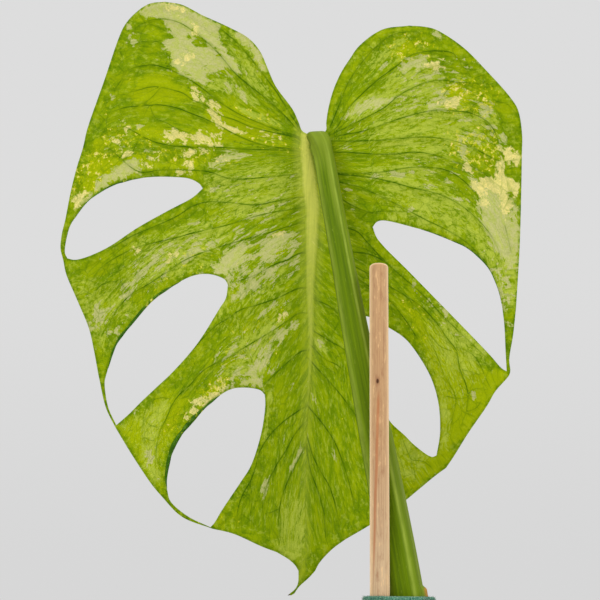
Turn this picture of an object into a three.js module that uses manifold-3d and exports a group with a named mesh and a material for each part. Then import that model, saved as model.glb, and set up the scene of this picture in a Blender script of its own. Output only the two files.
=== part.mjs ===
// Potted monstera with one large variegated leaf, tied to a round wooden stake.
// Units are millimetres. +Z is up, +X is right and +Y is away from the front.
// The origin is the middle of the pot's flat base, where it stands.
import * as THREE from "three";
import { mergeVertices } from "three/addons/utils/BufferGeometryUtils.js";
import Module from "manifold-3d";

const wasm = await Module();
wasm.setup();

// Clearance kept between pieces that touch
const GAP = 0.3;

// Pot: a plain plastic nursery pot
const POT_HEIGHT = 110;
const POT_TOP_RADIUS = 65;
const POT_BASE_RADIUS = 47;
const POT_WALL = 1.6;
const POT_LIP = 1.8;
const POT_BAND_HEIGHT = 20;
const POT_BAND_STEP = 1.2;
const POT_FLOOR = 2.2;
const POT_ARCH = 3;
const POT_CENTRE_RADIUS = 20;
const POT_FOOT_INNER_RADIUS = 41;
const DRAIN_HOLES = 8;
const DRAIN_RADIUS = 4.5;
const DRAIN_CIRCLE = 31.5;

// Soil
const SOIL_TOP = 98;
const SOIL_RELIEF = 1.3;

// Stake: an 8 mm dowel that leans a little to the right
const STAKE_RADIUS = 4;
const STAKE_CHAMFER = 1.1;
const STAKE_FOOT = new THREE.Vector3(-11.7, -7.6, 32);
const STAKE_HEAD = new THREE.Vector3(-8.15, -7.6, 313.5);

// Stem: short and thick, with rings at its nodes, a pointed bud on top, and one root in the air
const STEM_PATH = [[9.5, -6, 80], [9.5, -6, 98], [9.3, -6.2, 112], [8.8, -6.8, 120], [7.8, -7.6, 128],
  [6.3, -8.1, 138], [5, -8.3, 148]];
const STEM_RADII = [8.6, 8.8, 9.2, 7.4, 4.9, 3.4, 0.9];
const STEM_NODES = [103.5, 113];
const STEM_NODE_SWELL = 0.9;
const STEM_NODE_SPREAD = 1.5;
const ROOT_PATH = [[14.5, -9, 111], [21, -13, 112.5], [26.5, -16.5, 108], [29.5, -18.5, 99], [30.5, -19, 84]];
const ROOT_RADII = [3, 2.8, 2.5, 2.2, 1.9];
const STEM_SIDES = 20;
const ROOT_SIDES = 10;

// Leaf: J, where the petiole meets the blade, and the eye that the blade faces
const JOINT = new THREE.Vector3(-35.6, 12, 380);
const LEAF_LEAN = THREE.MathUtils.degToRad(15);
const EYE_DISTANCE = 595;
const EYE_CENTRE = new THREE.Vector2(-6.4, -75.1);
const BLADE_THICKNESS = 0.9;
const MARGIN_CURL = 14;
const LENGTH_ARCH = 10;
const SOFT_WAVE = 1.5;
const MIDRIB_HEIGHT = 2.1;
const MIDRIB_HALF_WIDTH = 3;

// Petiole: points [right, up, away] as the leaf's points are, then [x, y, z] down to the stem
const PETIOLE_IN_VIEW = [
  [-0.6, -1.6, -0.5], [0.6, -1.9, -4.6], [2.1, -4.4, -8.2], [4.6, -9.2, -9.6], [7.6, -25.2, -14.1],
  [13.5, -59.5, -24.4], [19.3, -91.1, -33], [28.1, -136.4, -44.4], [33, -162, -51], [40.9, -205.5, -62.6],
];
const PETIOLE_FOOT = [[3.4, 1.4, 154], [5.9, 1.9, 132], [7.6, 2.7, 114], [8.1, 3, 106]];
const PETIOLE_RADII = [4.7, 4.8, 4.7, 4.3, 4.3, 5, 5.8, 7, 7.4, 7.8, 8.1, 8.6, 9.6, 9.2];
const PETIOLE_SIDES = 18;
const PETIOLE_STEPS = 44;
const CHANNEL_DEPTH = 0.2;
const CHANNEL_WIDTH = 0.55;
const CHANNEL_TURN = -0.18;
const RIDGE_ANGLE = 0.98;
const RIDGE_WIDTH = 0.24;
const RIDGE_HEIGHT = 0.06;
const SHEATH_TOP = 184;
const SHEATH_FULL = 150;
const SHEATH_HEIGHT = 0.26;

// Tie: a soft strap round the stake and the petiole, with its end lapped over
const TIE_TOP = 173.6;
const TIE_WIDTH = 13;
const TIE_THICKNESS = 1.5;
const TIE_SIDES = 48;
const TIE_LAP_ANGLE = 3.5;
const TIE_LAP_SPREAD = 0.75;
const TIE_LAP_THICKNESS = 1.2;

// Blade outline: [right, up] from J. The midrib runs from J to the neck, and on into the tip.
const MIDRIB = [[0, 0], [-0.9, -15.6], [-1.1, -38.4], [-1.4, -75.1], [-2.7, -120.8], [-3.9, -166.6],
  [-4.1, -184.9], [-3.4, -198.2]];
const MIDRIB_TIP = [[-3.4, -198.2], [-4.3, -201.8], [-9.2, -208.3], [-12.1, -210.3]];
const LEFT_SINUS = [[0, 0], [-5.3, 2.2], [-6.9, 6], [-9.6, 11.9], [-17.6, 22.9], [-21.1, 30.7],
  [-24.6, 38.6], [-29.9, 44.7], [-38.6, 49.6], [-50.9, 55.2], [-60.6, 60.1], [-68.2, 61.4]];
const RIGHT_SINUS = [[0, 0], [5.4, 2.3], [5.6, 6.2], [6.7, 13.2], [8.9, 21.1], [12.4, 29],
  [16.3, 35.1], [20.7, 41.2], [31.3, 48.7], [43.5, 50.5]];

// Margins between the holes, from the top lobes down to the tip
const LEFT_MARGINS = [
  [[-68.2, 61.4], [-75.4, 60.5], [-82.4, 55.7], [-86.8, 50.4], [-89.4, 44.7], [-96, 25.4],
    [-103.9, 2.7], [-105.7, -5.2], [-108.7, -14.8], [-111.3, -25.3], [-113.8, -38.2]],
  [[-114.7, -57.2], [-113.5, -63], [-108.7, -74.4], [-103, -88.2], [-100.8, -97.8], [-98.7, -109.2]],
  [[-90.8, -133.6], [-83.3, -146], [-74.6, -159.1], [-71.4, -163.1]],
  [[-46.5, -179.8], [-36.9, -182.1], [-23.8, -188], [-16.9, -190.6]],
  [[-16.9, -190.6], [-11.1, -194.2], [-8.5, -196.7], [-7.1, -199.1]],
];
const LEFT_TIP_MARGIN = [[-7.1, -199.1], [-7.3, -204.6], [-8.5, -207.2], [-12.1, -210.3]];
const RIGHT_MARGINS = [
  [[43.5, 50.5], [50.5, 50], [55.7, 48.7], [68, 40.8], [79.4, 29.4], [89.9, 17.6], [93.4, 11.9],
    [95.3, 0.5], [95.2, -7.8], [94.7, -34.1], [94.1, -52.2], [92.5, -78.7]],
  [[89.9, -106.9], [89.5, -109.2], [82.9, -117.1], [79.4, -123.2], [70.7, -135.9], [63.6, -147.3],
    [60.4, -152]],
  [[60.4, -152], [56.6, -154.7], [47, -162.6], [41.7, -167], [33.4, -173], [25.1, -178.4],
    [14.5, -184.6]],
  [[14.5, -184.6], [8.5, -189], [2.6, -195.3], [0.5, -199.1]],
];
const RIGHT_TIP_MARGIN = [[0.5, -199.1], [-2, -201.9], [-7, -206.5], [-9.6, -210], [-12.1, -210.3]];

// Holes: the vein from the midrib (at a share of its length) to the inner corner, the upper and
// lower edges, and the inner and outer edges of the thread that closes the hole at the margin
const LEFT_HOLES = [
  {
    at: 0.049,
    vein: [[-11, -12.4], [-23.8, -15.6], [-37.5, -19.2], [-50.9, -24]],
    upper: [[-50.9, -24], [-52.6, -21.8], [-57, -19.6], [-64.9, -18.8], [-73.7, -18.8],
      [-82.4, -19.8], [-91.2, -22.2], [-98.2, -25.8], [-104.3, -30.6], [-110.8, -39.6]],
    lower: [[-50.9, -24], [-55.3, -28], [-66.6, -34.1], [-80.7, -42], [-94.7, -51.2],
      [-105.2, -55.8], [-109.8, -56.7], [-112.9, -56]],
    threadInner: [[-110.8, -39.6], [-112.2, -42.8], [-114, -53.3], [-112.9, -56]],
    threadOuter: [[-113.8, -38.2], [-115.5, -45.4], [-116, -51.6], [-114.7, -57.2]],
  },
  {
    at: 0.225,
    vein: [[-11, -49.4], [-23.8, -56.3], [-32.5, -62.2], [-39.4, -68.2]],
    upper: [[-39.4, -68.2], [-40.7, -65.9], [-45.6, -63.7], [-50.9, -63.2], [-56.2, -64.3],
      [-63.2, -67.8], [-73.7, -74.8], [-83.3, -85.6], [-90.8, -95.7], [-95.1, -109.4]],
    lower: [[-39.4, -68.2], [-40.4, -74.4], [-43, -78.6], [-53.5, -95.2], [-64.9, -108.3],
      [-71.9, -114.9], [-78.9, -121.5], [-85, -127.6], [-90.5, -132.4]],
    threadInner: [[-95.1, -109.4], [-95.8, -112.7], [-94.2, -124.1], [-90.5, -132.4]],
    threadOuter: [[-98.7, -109.2], [-95.2, -124.5], [-90.8, -133.6]],
  },
  {
    at: 0.438,
    vein: [[-7.8, -95.7], [-14.2, -103.4], [-19.2, -110.8], [-22.5, -118.5]],
    upper: [[-22.5, -118.5], [-24.6, -116.4], [-32.5, -115.2], [-38.6, -116.2], [-48.3, -122.8],
      [-58.8, -133.7], [-63.2, -139.9], [-65.8, -146], [-67.7, -157.4], [-67.2, -162]],
    lower: [[-22.5, -118.5], [-22.3, -123.2], [-24.2, -136.3], [-29, -151.2], [-33.4, -158.2],
      [-42.2, -171.4], [-45.6, -177.1], [-47.4, -179.1]],
    threadInner: [[-67.2, -162], [-65.8, -167], [-57.9, -174], [-47.4, -179.1]],
    threadOuter: [[-71.4, -163.1], [-60.6, -174.2], [-46.5, -179.8]],
  },
];
const RIGHT_HOLES = [
  {
    at: 0.145,
    vein: [[3.7, -32.5], [11, -36.2], [19.2, -38.9], [26.9, -41.7]],
    upper: [[26.9, -41.7], [28.6, -39.5], [31.3, -38.7], [46.1, -42], [54.9, -44.6],
      [63.6, -48.1], [70.7, -51.6], [79.8, -60.3], [84.8, -71.7], [86.2, -78.7]],
    lower: [[26.9, -41.7], [28.6, -46.3], [32.1, -50.7], [42.6, -61.2], [56, -74.9],
      [71.5, -90.8], [80.3, -100], [86.2, -106.6], [88.2, -107.7]],
    threadInner: [[86.2, -78.7], [87.1, -86.5], [87.7, -98.7], [88.2, -107.7]],
    threadOuter: [[92.5, -78.7], [91.2, -90.8], [89.4, -102.5], [89.9, -106.9]],
  },
  {
    at: 0.334,
    vein: [[2.7, -71.4], [13.7, -80.1], [19.2, -84.7]],
    upper: [[19.2, -84.7], [21.5, -82.8], [24.7, -82.7], [34.1, -87.7], [40.9, -92.1],
      [45.3, -96.9], [53.1, -109.7], [56.8, -121.5], [57.7, -135.5], [56.1, -146.2]],
    lower: [[19.2, -84.7], [20.1, -91.1], [22.9, -100.7], [26.1, -110.8], [29.8, -120.8],
      [34.6, -130.4], [41.7, -137.2], [46.1, -141.6], [54, -146.9], [56.1, -146.2]],
    threadInner: null,
    threadOuter: [[60.4, -152]],
  },
];

// Guide veins that leave the midrib below the last hole, and where they leave it
const LEFT_GUIDE = {
  at: 0.63,
  vein: [[-5.5, -130], [-11, -148.3], [-14.9, -165.2], [-16.2, -178], [-16.9, -190.6]],
};
const RIGHT_GUIDE = {
  at: 0.585,
  vein: [[0.9, -132.3], [6.4, -155.2], [10.1, -171.2], [12.4, -179.4], [14.5, -184.6]],
};

// Cells of the blade's mesh: rows from each vein's root on the midrib to the next root, as
// [share of the midrib, rows], and columns along a vein
const MIDRIB_ROWS = [
  [0, 8], [0.049, 3], [0.145, 3], [0.225, 3], [0.334, 3], [0.438, 3], [0.585, 1], [0.63, 5],
];
const TIP_ROWS = 3;
const THREAD_ROWS = 6;
const VEIN_STEPS = [0, 0.035, 0.1, 0.32, 0.64, 1];
const EDGE_CELLS = 14;
const TIP_COLUMNS = 3;

// Turn a closed geometry into a solid, and a solid into a geometry
function toSolid(geometry) {
  const bare = geometry.clone();
  bare.deleteAttribute("normal");
  bare.deleteAttribute("uv");
  const merged = mergeVertices(bare, 1e-4);
  return new wasm.Manifold(new wasm.Mesh({
    numProp: 3,
    vertProperties: new Float32Array(merged.attributes.position.array),
    triVerts: new Uint32Array(merged.index.array),
  }));
}

function toGeometry(solid) {
  const mesh = solid.getMesh();
  const geometry = new THREE.BufferGeometry();
  geometry.setAttribute("position", new THREE.BufferAttribute(new Float32Array(mesh.vertProperties), 3));
  geometry.setIndex(new THREE.BufferAttribute(new Uint32Array(mesh.triVerts), 1));
  geometry.computeVertexNormals();
  return geometry;
}

function biggestPiece(solid) {
  return solid.decompose().reduce((best, piece) => (piece.volume() > best.volume() ? piece : best));
}

function fromTriangles(points, triangles) {
  const geometry = new THREE.BufferGeometry();
  geometry.setAttribute("position", new THREE.Float32BufferAttribute(points.flatMap((p) => p.toArray()), 3));
  geometry.setIndex(triangles.flat());
  geometry.computeVertexNormals();
  return geometry;
}

const bell = (x, spread) => Math.exp(-((x / spread) ** 2));

// Skin over rings of points that turn alike, closed by a fan at each end
function skinRings(rings) {
  const sides = rings[0].length;
  const points = rings.flat();
  const triangles = [];
  for (let k = 0; k + 1 < rings.length; k += 1) {
    for (let i = 0; i < sides; i += 1) {
      const a = k * sides + i;
      const b = k * sides + ((i + 1) % sides);
      triangles.push([a, b, b + sides], [a, b + sides, a + sides]);
    }
  }
  [0, rings.length - 1].forEach((k) => {
    const centre = rings[k].reduce((sum, p) => sum.add(p), new THREE.Vector3()).divideScalar(sides);
    points.push(centre);
    for (let i = 0; i < sides; i += 1) {
      const a = k * sides + i;
      const b = k * sides + ((i + 1) % sides);
      triangles.push(k === 0 ? [b, a, points.length - 1] : [a, b, points.length - 1]);
    }
  });
  return fromTriangles(points, triangles);
}

// Frames carried along a path without twist: the place among the path's points, the position,
// the direction that faces front at the start, and the direction to its side
function framesAlong(points, steps) {
  const curve = new THREE.CatmullRomCurve3(points, false, "centripetal");
  curve.arcLengthDivisions = 600;
  const front = new THREE.Vector3(0, -1, 0);
  return Array.from({ length: steps + 1 }, (_, k) => {
    const tangent = curve.getTangentAt(k / steps);
    front.addScaledVector(tangent, -front.dot(tangent)).normalize();
    return {
      place: curve.getUtoTmapping(k / steps) * (points.length - 1),
      position: curve.getPointAt(k / steps),
      front: front.clone(),
      side: new THREE.Vector3().crossVectors(tangent, front),
    };
  });
}

function ringAt(frame, sides, radiusFor) {
  return Array.from({ length: sides }, (_, i) => {
    const angle = (i / sides) * 2 * Math.PI;
    const radius = radiusFor(angle);
    return frame.position.clone()
      .addScaledVector(frame.front, radius * Math.cos(angle))
      .addScaledVector(frame.side, radius * Math.sin(angle));
  });
}

// Radius at a place on a path: each point of the path has its own radius
function radiusAt(radii, place) {
  const k = Math.min(radii.length - 2, Math.floor(place));
  return THREE.MathUtils.lerp(radii[k], radii[k + 1], place - k);
}

const toVector = ([x, y, z]) => new THREE.Vector3(x, y, z);

// Leaf space: right, up and away from J. What lies nearer the eye is drawn in to the line of
// sight, so that the outline seen from the eye is the outline that is written above.
const LEAF_UP = new THREE.Vector3(0, -Math.sin(LEAF_LEAN), Math.cos(LEAF_LEAN));
const LEAF_AWAY = new THREE.Vector3(0, Math.cos(LEAF_LEAN), Math.sin(LEAF_LEAN));

function leafPoint(right, up, away) {
  const spread = 1 + away / EYE_DISTANCE;
  return JOINT.clone()
    .add(new THREE.Vector3(EYE_CENTRE.x + (right - EYE_CENTRE.x) * spread, 0, 0))
    .addScaledVector(LEAF_UP, EYE_CENTRE.y + (up - EYE_CENTRE.y) * spread)
    .addScaledVector(LEAF_AWAY, away);
}

// How far the blade's middle layer lies behind the flat leaf plane
function bladeDepth(right, up) {
  const wave = Math.sin(right / 17 + 0.6) * Math.sin(up / 23 - 0.4) * Math.min(1, Math.abs(right) / 45);
  return SOFT_WAVE * wave - MARGIN_CURL * (right / 100) ** 2 - LENGTH_ARCH * ((up + 60) / 140) ** 2;
}

function curveOf(points) {
  const corners = points.map(([x, y]) => new THREE.Vector3(x, y, 0));
  const curve = new THREE.CatmullRomCurve3(corners, false, "centripetal");
  curve.arcLengthDivisions = 400;
  return curve;
}

function pointsAt(points, shares) {
  const curve = curveOf(points);
  return shares.map((share) => curve.getPointAt(share));
}

const evenShares = (cells) => Array.from({ length: cells + 1 }, (_, k) => k / cells);

// Steps that are closer together at both ends, for the round ends of the holes
const endShares = (cells) => evenShares(cells).map((u) => 0.45 * u + 0.275 * (1 - Math.cos(Math.PI * u)));

const MIDRIB_CURVE = curveOf(MIDRIB);
const MIDRIB_NODES = MIDRIB_ROWS.flatMap(([root, rows], k) => {
  const next = k + 1 < MIDRIB_ROWS.length ? MIDRIB_ROWS[k + 1][0] : 1;
  return Array.from({ length: rows }, (_, i) => THREE.MathUtils.lerp(root, next, i / rows));
}).concat(1);
const MIDRIB_SAMPLES = [...pointsAt(MIDRIB, evenShares(160)), ...pointsAt(MIDRIB_TIP, evenShares(12))];

// A line from the midrib to the margin: the vein, one edge of the hole, then the closing step
function slitLine(hole, edge, marginPoint) {
  const root = MIDRIB_CURVE.getPointAt(hole.at);
  const vein = pointsAt([[root.x, root.y], ...hole.vein], VEIN_STEPS);
  const rim = pointsAt(edge, endShares(EDGE_CELLS)).slice(1);
  return [...vein, ...rim, new THREE.Vector3(marginPoint[0], marginPoint[1], 0)];
}

// Share of a line's length at each of its points
function sharesOf(line) {
  const lengths = line.map((p, i) => (i === 0 ? 0 : p.distanceTo(line[i - 1])));
  const total = lengths.reduce((sum, length) => sum + length, 0);
  let run = 0;
  return lengths.map((length) => {
    run += length;
    return run / total;
  });
}

// Fill between an upper and a lower line, whose starts and ends lie on the midrib and the margin
function fillField(upper, lower, inner, outer) {
  const upperShares = sharesOf(upper);
  const lowerShares = sharesOf(lower);
  const rows = inner.length - 1;
  return inner.map((start, row) => {
    const s = row / rows;
    return upper.map((_, column) => {
      const t = (upperShares[column] + lowerShares[column]) / 2;
      const across = upper[column].clone().lerp(lower[column], s);
      const along = start.clone().lerp(outer[row], t);
      const top = upper[0].clone().lerp(upper[upper.length - 1], t);
      const bottom = lower[0].clone().lerp(lower[lower.length - 1], t);
      return across.add(along).sub(top.lerp(bottom, s));
    });
  });
}

// Fill from a guide vein down to the neck of the tip: its bend dies away over the rows
function fillBelow(guide, inner, outer) {
  const shares = sharesOf(guide);
  const bend = guide.map((p, i) => p.clone().sub(guide[0].clone().lerp(guide[guide.length - 1], shares[i])));
  const rows = inner.length - 1;
  return inner.map((start, row) => shares.map((t, column) => (
    start.clone().lerp(outer[row], t).addScaledVector(bend[column], 1 - row / rows)
  )));
}

// Collects the blade's flat triangles, with shared corners, anticlockwise as the eye sees them
class FlatMesh {
  constructor() {
    this.points = [];
    this.index = new Map();
    this.triangles = [];
  }

  vertex(point) {
    const key = `${Math.round(point.x * 200)},${Math.round(point.y * 200)}`;
    if (!this.index.has(key)) {
      this.index.set(key, this.points.length);
      this.points.push(point.clone());
    }
    return this.index.get(key);
  }

  triangle(a, b, c) {
    const ids = [a, b, c].map((p) => this.vertex(p));
    if (new Set(ids).size < 3) return;
    const [p, q, r] = ids.map((i) => this.points[i]);
    const area = (q.x - p.x) * (r.y - p.y) - (q.y - p.y) * (r.x - p.x);
    this.triangles.push(area > 0 ? ids : [ids[0], ids[2], ids[1]]);
  }

  grid(rows) {
    for (let j = 0; j + 1 < rows.length; j += 1) {
      for (let i = 0; i + 1 < rows[j].length; i += 1) {
        this.triangle(rows[j][i], rows[j][i + 1], rows[j + 1][i + 1]);
        this.triangle(rows[j][i], rows[j + 1][i + 1], rows[j + 1][i]);
      }
    }
  }

  // Join a row of many points to a row of fewer points below it
  stitch(many, few) {
    let j = 0;
    for (let i = 0; i + 1 < many.length; i += 1) {
      this.triangle(many[i], many[i + 1], few[j]);
      if (j + 1 < few.length && (i + 1) / (many.length - 1) >= (j + 0.5) / (few.length - 1)) {
        this.triangle(many[i + 1], few[j + 1], few[j]);
        j += 1;
      }
    }
  }
}

function addHalf(mesh, sinus, holes, guide, margins, tipMargin) {
  const lines = holes.map((hole) => ({
    upper: slitLine(hole, hole.upper, hole.threadOuter[0]),
    lower: slitLine(hole, hole.lower, hole.threadOuter[hole.threadOuter.length - 1]),
  }));
  const guideRoot = MIDRIB_CURVE.getPointAt(guide.at);
  const last = lines[lines.length - 1].lower;
  const guideLine = pointsAt([[guideRoot.x, guideRoot.y], ...guide.vein], sharesOf(last));
  const uppers = [pointsAt(sinus, sharesOf(lines[0].upper)), ...lines.map((line) => line.lower)];
  const lowers = [...lines.map((line) => line.upper), guideLine];
  const roots = [0, ...holes.map((hole) => hole.at), guide.at, 1];
  const sidesOf = (k) => {
    const inner = MIDRIB_NODES.filter((share) => share >= roots[k] && share <= roots[k + 1])
      .map((share) => MIDRIB_CURVE.getPointAt(share));
    return [inner, pointsAt(margins[k], evenShares(inner.length - 1))];
  };
  uppers.forEach((upper, k) => mesh.grid(fillField(upper, lowers[k], ...sidesOf(k))));
  const neckward = fillBelow(guideLine, ...sidesOf(uppers.length));
  mesh.grid(neckward);
  const tipInner = pointsAt(MIDRIB_TIP, evenShares(TIP_ROWS));
  const tipOuter = pointsAt(tipMargin, evenShares(TIP_ROWS));
  const tip = tipInner.map((start, row) => (
    evenShares(TIP_COLUMNS).map((share) => start.clone().lerp(tipOuter[row], share))
  ));
  mesh.stitch(neckward[neckward.length - 1], tip[1]);
  mesh.grid(tip.slice(1));
  holes.filter((hole) => hole.threadInner).forEach((hole) => {
    const inner = pointsAt(hole.threadInner, evenShares(THREAD_ROWS));
    const outer = pointsAt(hole.threadOuter, evenShares(THREAD_ROWS));
    mesh.grid(inner.map((start, row) => [start, outer[row]]));
  });
}

function flatBlade() {
  const mesh = new FlatMesh();
  addHalf(mesh, LEFT_SINUS, LEFT_HOLES, LEFT_GUIDE, LEFT_MARGINS, LEFT_TIP_MARGIN);
  addHalf(mesh, RIGHT_SINUS, RIGHT_HOLES, RIGHT_GUIDE, RIGHT_MARGINS, RIGHT_TIP_MARGIN);
  return mesh;
}

// The midrib stands out of the blade's near face as a low ridge that thins toward the tip
function midribHeight(point) {
  let nearest = 0;
  let distance = Infinity;
  MIDRIB_SAMPLES.forEach((sample, i) => {
    const d = sample.distanceTo(point);
    if (d < distance) {
      distance = d;
      nearest = i;
    }
  });
  const thin = 1 - nearest / MIDRIB_SAMPLES.length;
  const halfWidth = MIDRIB_HALF_WIDTH * (0.35 + 0.65 * thin);
  return MIDRIB_HEIGHT * thin * Math.sqrt(Math.max(0, 1 - (distance / halfWidth) ** 2));
}

// Give the flat blade its depth and a thickness, with walls round its margin and its holes
function bladeGeometry(mesh, extra) {
  const half = BLADE_THICKNESS / 2 + extra;
  const count = mesh.points.length;
  const near = mesh.points.map((p) => leafPoint(p.x, p.y, bladeDepth(p.x, p.y) - half - midribHeight(p)));
  const far = mesh.points.map((p) => leafPoint(p.x, p.y, bladeDepth(p.x, p.y) + half));
  const triangles = [];
  const edges = new Set();
  mesh.triangles.forEach(([a, b, c]) => {
    triangles.push([a, b, c], [c + count, b + count, a + count]);
    [[a, b], [b, c], [c, a]].forEach(([p, q]) => edges.add(`${p},${q}`));
  });
  edges.forEach((edge) => {
    const [p, q] = edge.split(",").map(Number);
    if (!edges.has(`${q},${p}`)) triangles.push([q, p, p + count], [q, p + count, q + count]);
  });
  return fromTriangles([...near, ...far], triangles);
}

// A block behind the blade's near face at J, which keeps the petiole's end in front of it
function blockBehindJoint() {
  const block = new THREE.BoxGeometry(40, 20, 40);
  block.rotateX(LEAF_LEAN);
  const centre = leafPoint(0, 0, bladeDepth(0, 0) - BLADE_THICKNESS / 2 - GAP).addScaledVector(LEAF_AWAY, 10);
  block.translate(centre.x, centre.y, centre.z);
  return toSolid(block);
}

function petioleFrames() {
  const path = [
    ...PETIOLE_IN_VIEW.map(([right, up, away]) => leafPoint(right, up, away)),
    ...PETIOLE_FOOT.map(toVector),
  ].reverse();
  return framesAlong(path, PETIOLE_STEPS);
}


// Round body with a shallow channel in front, between two ridges that grow into the sheath. The
// radii are listed from the blade down, and the frames run up from the stem.
function petioleRing(frame) {
  const radius = radiusAt(PETIOLE_RADII, PETIOLE_RADII.length - 1 - frame.place);
  const height = frame.position.z;
  const sheath = THREE.MathUtils.smoothstep(SHEATH_TOP - height, 0, SHEATH_TOP - SHEATH_FULL);
  const ridge = RIDGE_HEIGHT + (SHEATH_HEIGHT - RIDGE_HEIGHT) * sheath;
  const below = THREE.MathUtils.smoothstep(JOINT.z - 6 - height, 0, 12);
  return ringAt(frame, PETIOLE_SIDES, (angle) => {
    const turned = Math.atan2(Math.sin(angle - CHANNEL_TURN), Math.cos(angle - CHANNEL_TURN));
    const channel = CHANNEL_DEPTH * bell(turned, CHANNEL_WIDTH);
    const ridges = bell(turned - RIDGE_ANGLE, RIDGE_WIDTH) + bell(turned + RIDGE_ANGLE, RIDGE_WIDTH);
    return radius * (1 + below * (ridge * ridges - channel));
  });
}

function stemGeometry(extra, drop) {
  const path = STEM_PATH.map(toVector);
  path[0].z -= drop;
  return skinRings(framesAlong(path, 34).map((frame) => {
    const swell = STEM_NODES.reduce((sum, node) => sum + bell(frame.position.z - node, STEM_NODE_SPREAD), 0);
    const radius = radiusAt(STEM_RADII, frame.place) + STEM_NODE_SWELL * swell + extra;
    return ringAt(frame, STEM_SIDES, () => radius);
  }));
}

function rootGeometry(extra, drop) {
  const path = ROOT_PATH.map(toVector);
  path[path.length - 1].z -= drop;
  return skinRings(framesAlong(path, 16).map((frame) => (
    ringAt(frame, ROOT_SIDES, () => radiusAt(ROOT_RADII, frame.place) + extra)
  )));
}

function stakeGeometry(extra, drop) {
  const axis = STAKE_HEAD.clone().sub(STAKE_FOOT);
  const length = axis.length();
  const radius = STAKE_RADIUS + extra;
  const profile = [
    [0, -drop], [radius, -drop], [radius, length - STAKE_CHAMFER],
    [radius - STAKE_CHAMFER, length], [0, length],
  ].map(([r, h]) => new THREE.Vector2(r, h));
  const geometry = new THREE.LatheGeometry(profile, 24);
  const turn = new THREE.Quaternion().setFromUnitVectors(new THREE.Vector3(0, 1, 0), axis.normalize());
  geometry.applyQuaternion(turn);
  geometry.translate(STAKE_FOOT.x, STAKE_FOOT.y, STAKE_FOOT.z);
  return geometry;
}

// A profile of [radius, height] points turned about the pot's axis
function turned(profile, segments) {
  const geometry = new THREE.LatheGeometry(profile.map(([r, z]) => new THREE.Vector2(r, z)), segments);
  geometry.rotateX(Math.PI / 2);
  return geometry;
}

// Inner radius of the pot's wall at a height
function potInside(height) {
  const outside = THREE.MathUtils.lerp(POT_BASE_RADIUS, POT_TOP_RADIUS - POT_BAND_STEP, height / POT_HEIGHT);
  return outside - POT_WALL;
}

function potGeometry() {
  const bandFoot = POT_HEIGHT - POT_BAND_HEIGHT;
  const wallTop = potInside(bandFoot) + POT_WALL;
  const bandOut = wallTop + POT_BAND_STEP;
  const lipOut = POT_TOP_RADIUS + POT_LIP - POT_WALL / 2;
  const mouth = potInside(POT_HEIGHT);
  const profile = [
    [0, 0], [POT_CENTRE_RADIUS, 0], [POT_CENTRE_RADIUS + 2, POT_ARCH], [POT_FOOT_INNER_RADIUS - 2, POT_ARCH],
    [POT_FOOT_INNER_RADIUS, 0], [POT_BASE_RADIUS - 1.5, 0], [POT_BASE_RADIUS, 1.5],
    [wallTop, bandFoot - 1], [bandOut, bandFoot], [POT_TOP_RADIUS - 0.2, POT_HEIGHT - 4.5],
    [lipOut, POT_HEIGHT - 3.8], [lipOut + 0.5, POT_HEIGHT - 1.8], [lipOut - 0.4, POT_HEIGHT - 0.4],
    [lipOut - 1.4, POT_HEIGHT], [mouth + 1, POT_HEIGHT], [mouth, POT_HEIGHT - 1], [potInside(60), 60],
    [potInside(POT_ARCH + POT_FLOOR + 2), POT_ARCH + POT_FLOOR + 2],
    [potInside(0) - 2, POT_ARCH + POT_FLOOR], [0, POT_ARCH + POT_FLOOR],
  ];
  let solid = toSolid(turned(profile, 56));
  for (let k = 0; k < DRAIN_HOLES; k += 1) {
    const angle = ((k + 0.5) / DRAIN_HOLES) * 2 * Math.PI;
    const hole = new THREE.CylinderGeometry(DRAIN_RADIUS, DRAIN_RADIUS, 20, 16);
    hole.rotateX(Math.PI / 2);
    hole.translate(DRAIN_CIRCLE * Math.cos(angle), DRAIN_CIRCLE * Math.sin(angle), 5);
    solid = solid.subtract(toSolid(hole));
  }
  return toGeometry(solid);
}

// Lumps of the soil's surface, which die out at the wall
function soilRelief(x, y) {
  const lumps = Math.sin(x / 5.1 + 1) * Math.sin(y / 4.3 + 2) + 0.6 * Math.sin(x / 2.9 - y / 3.7);
  const edge = 1 - (Math.hypot(x, y) / potInside(SOIL_TOP)) ** 6;
  return SOIL_RELIEF * lumps * Math.max(0, edge);
}

function soilGeometry(holes) {
  const floor = POT_ARCH + POT_FLOOR + GAP;
  const rings = 14;
  const edge = potInside(SOIL_TOP) - GAP;
  const profile = [[0, floor], [potInside(floor) - 3, floor], [potInside(floor + 3) - GAP, floor + 3]];
  for (let k = rings; k >= 0; k -= 1) profile.push([(edge * k) / rings, SOIL_TOP]);
  const geometry = turned(profile, 48);
  const position = geometry.attributes.position;
  for (let i = 0; i < position.count; i += 1) {
    if (position.getZ(i) > SOIL_TOP - 1) {
      position.setZ(i, SOIL_TOP + soilRelief(position.getX(i), position.getY(i)));
    }
  }
  return toGeometry(holes.reduce((solid, hole) => solid.subtract(hole), toSolid(geometry)));
}

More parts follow.
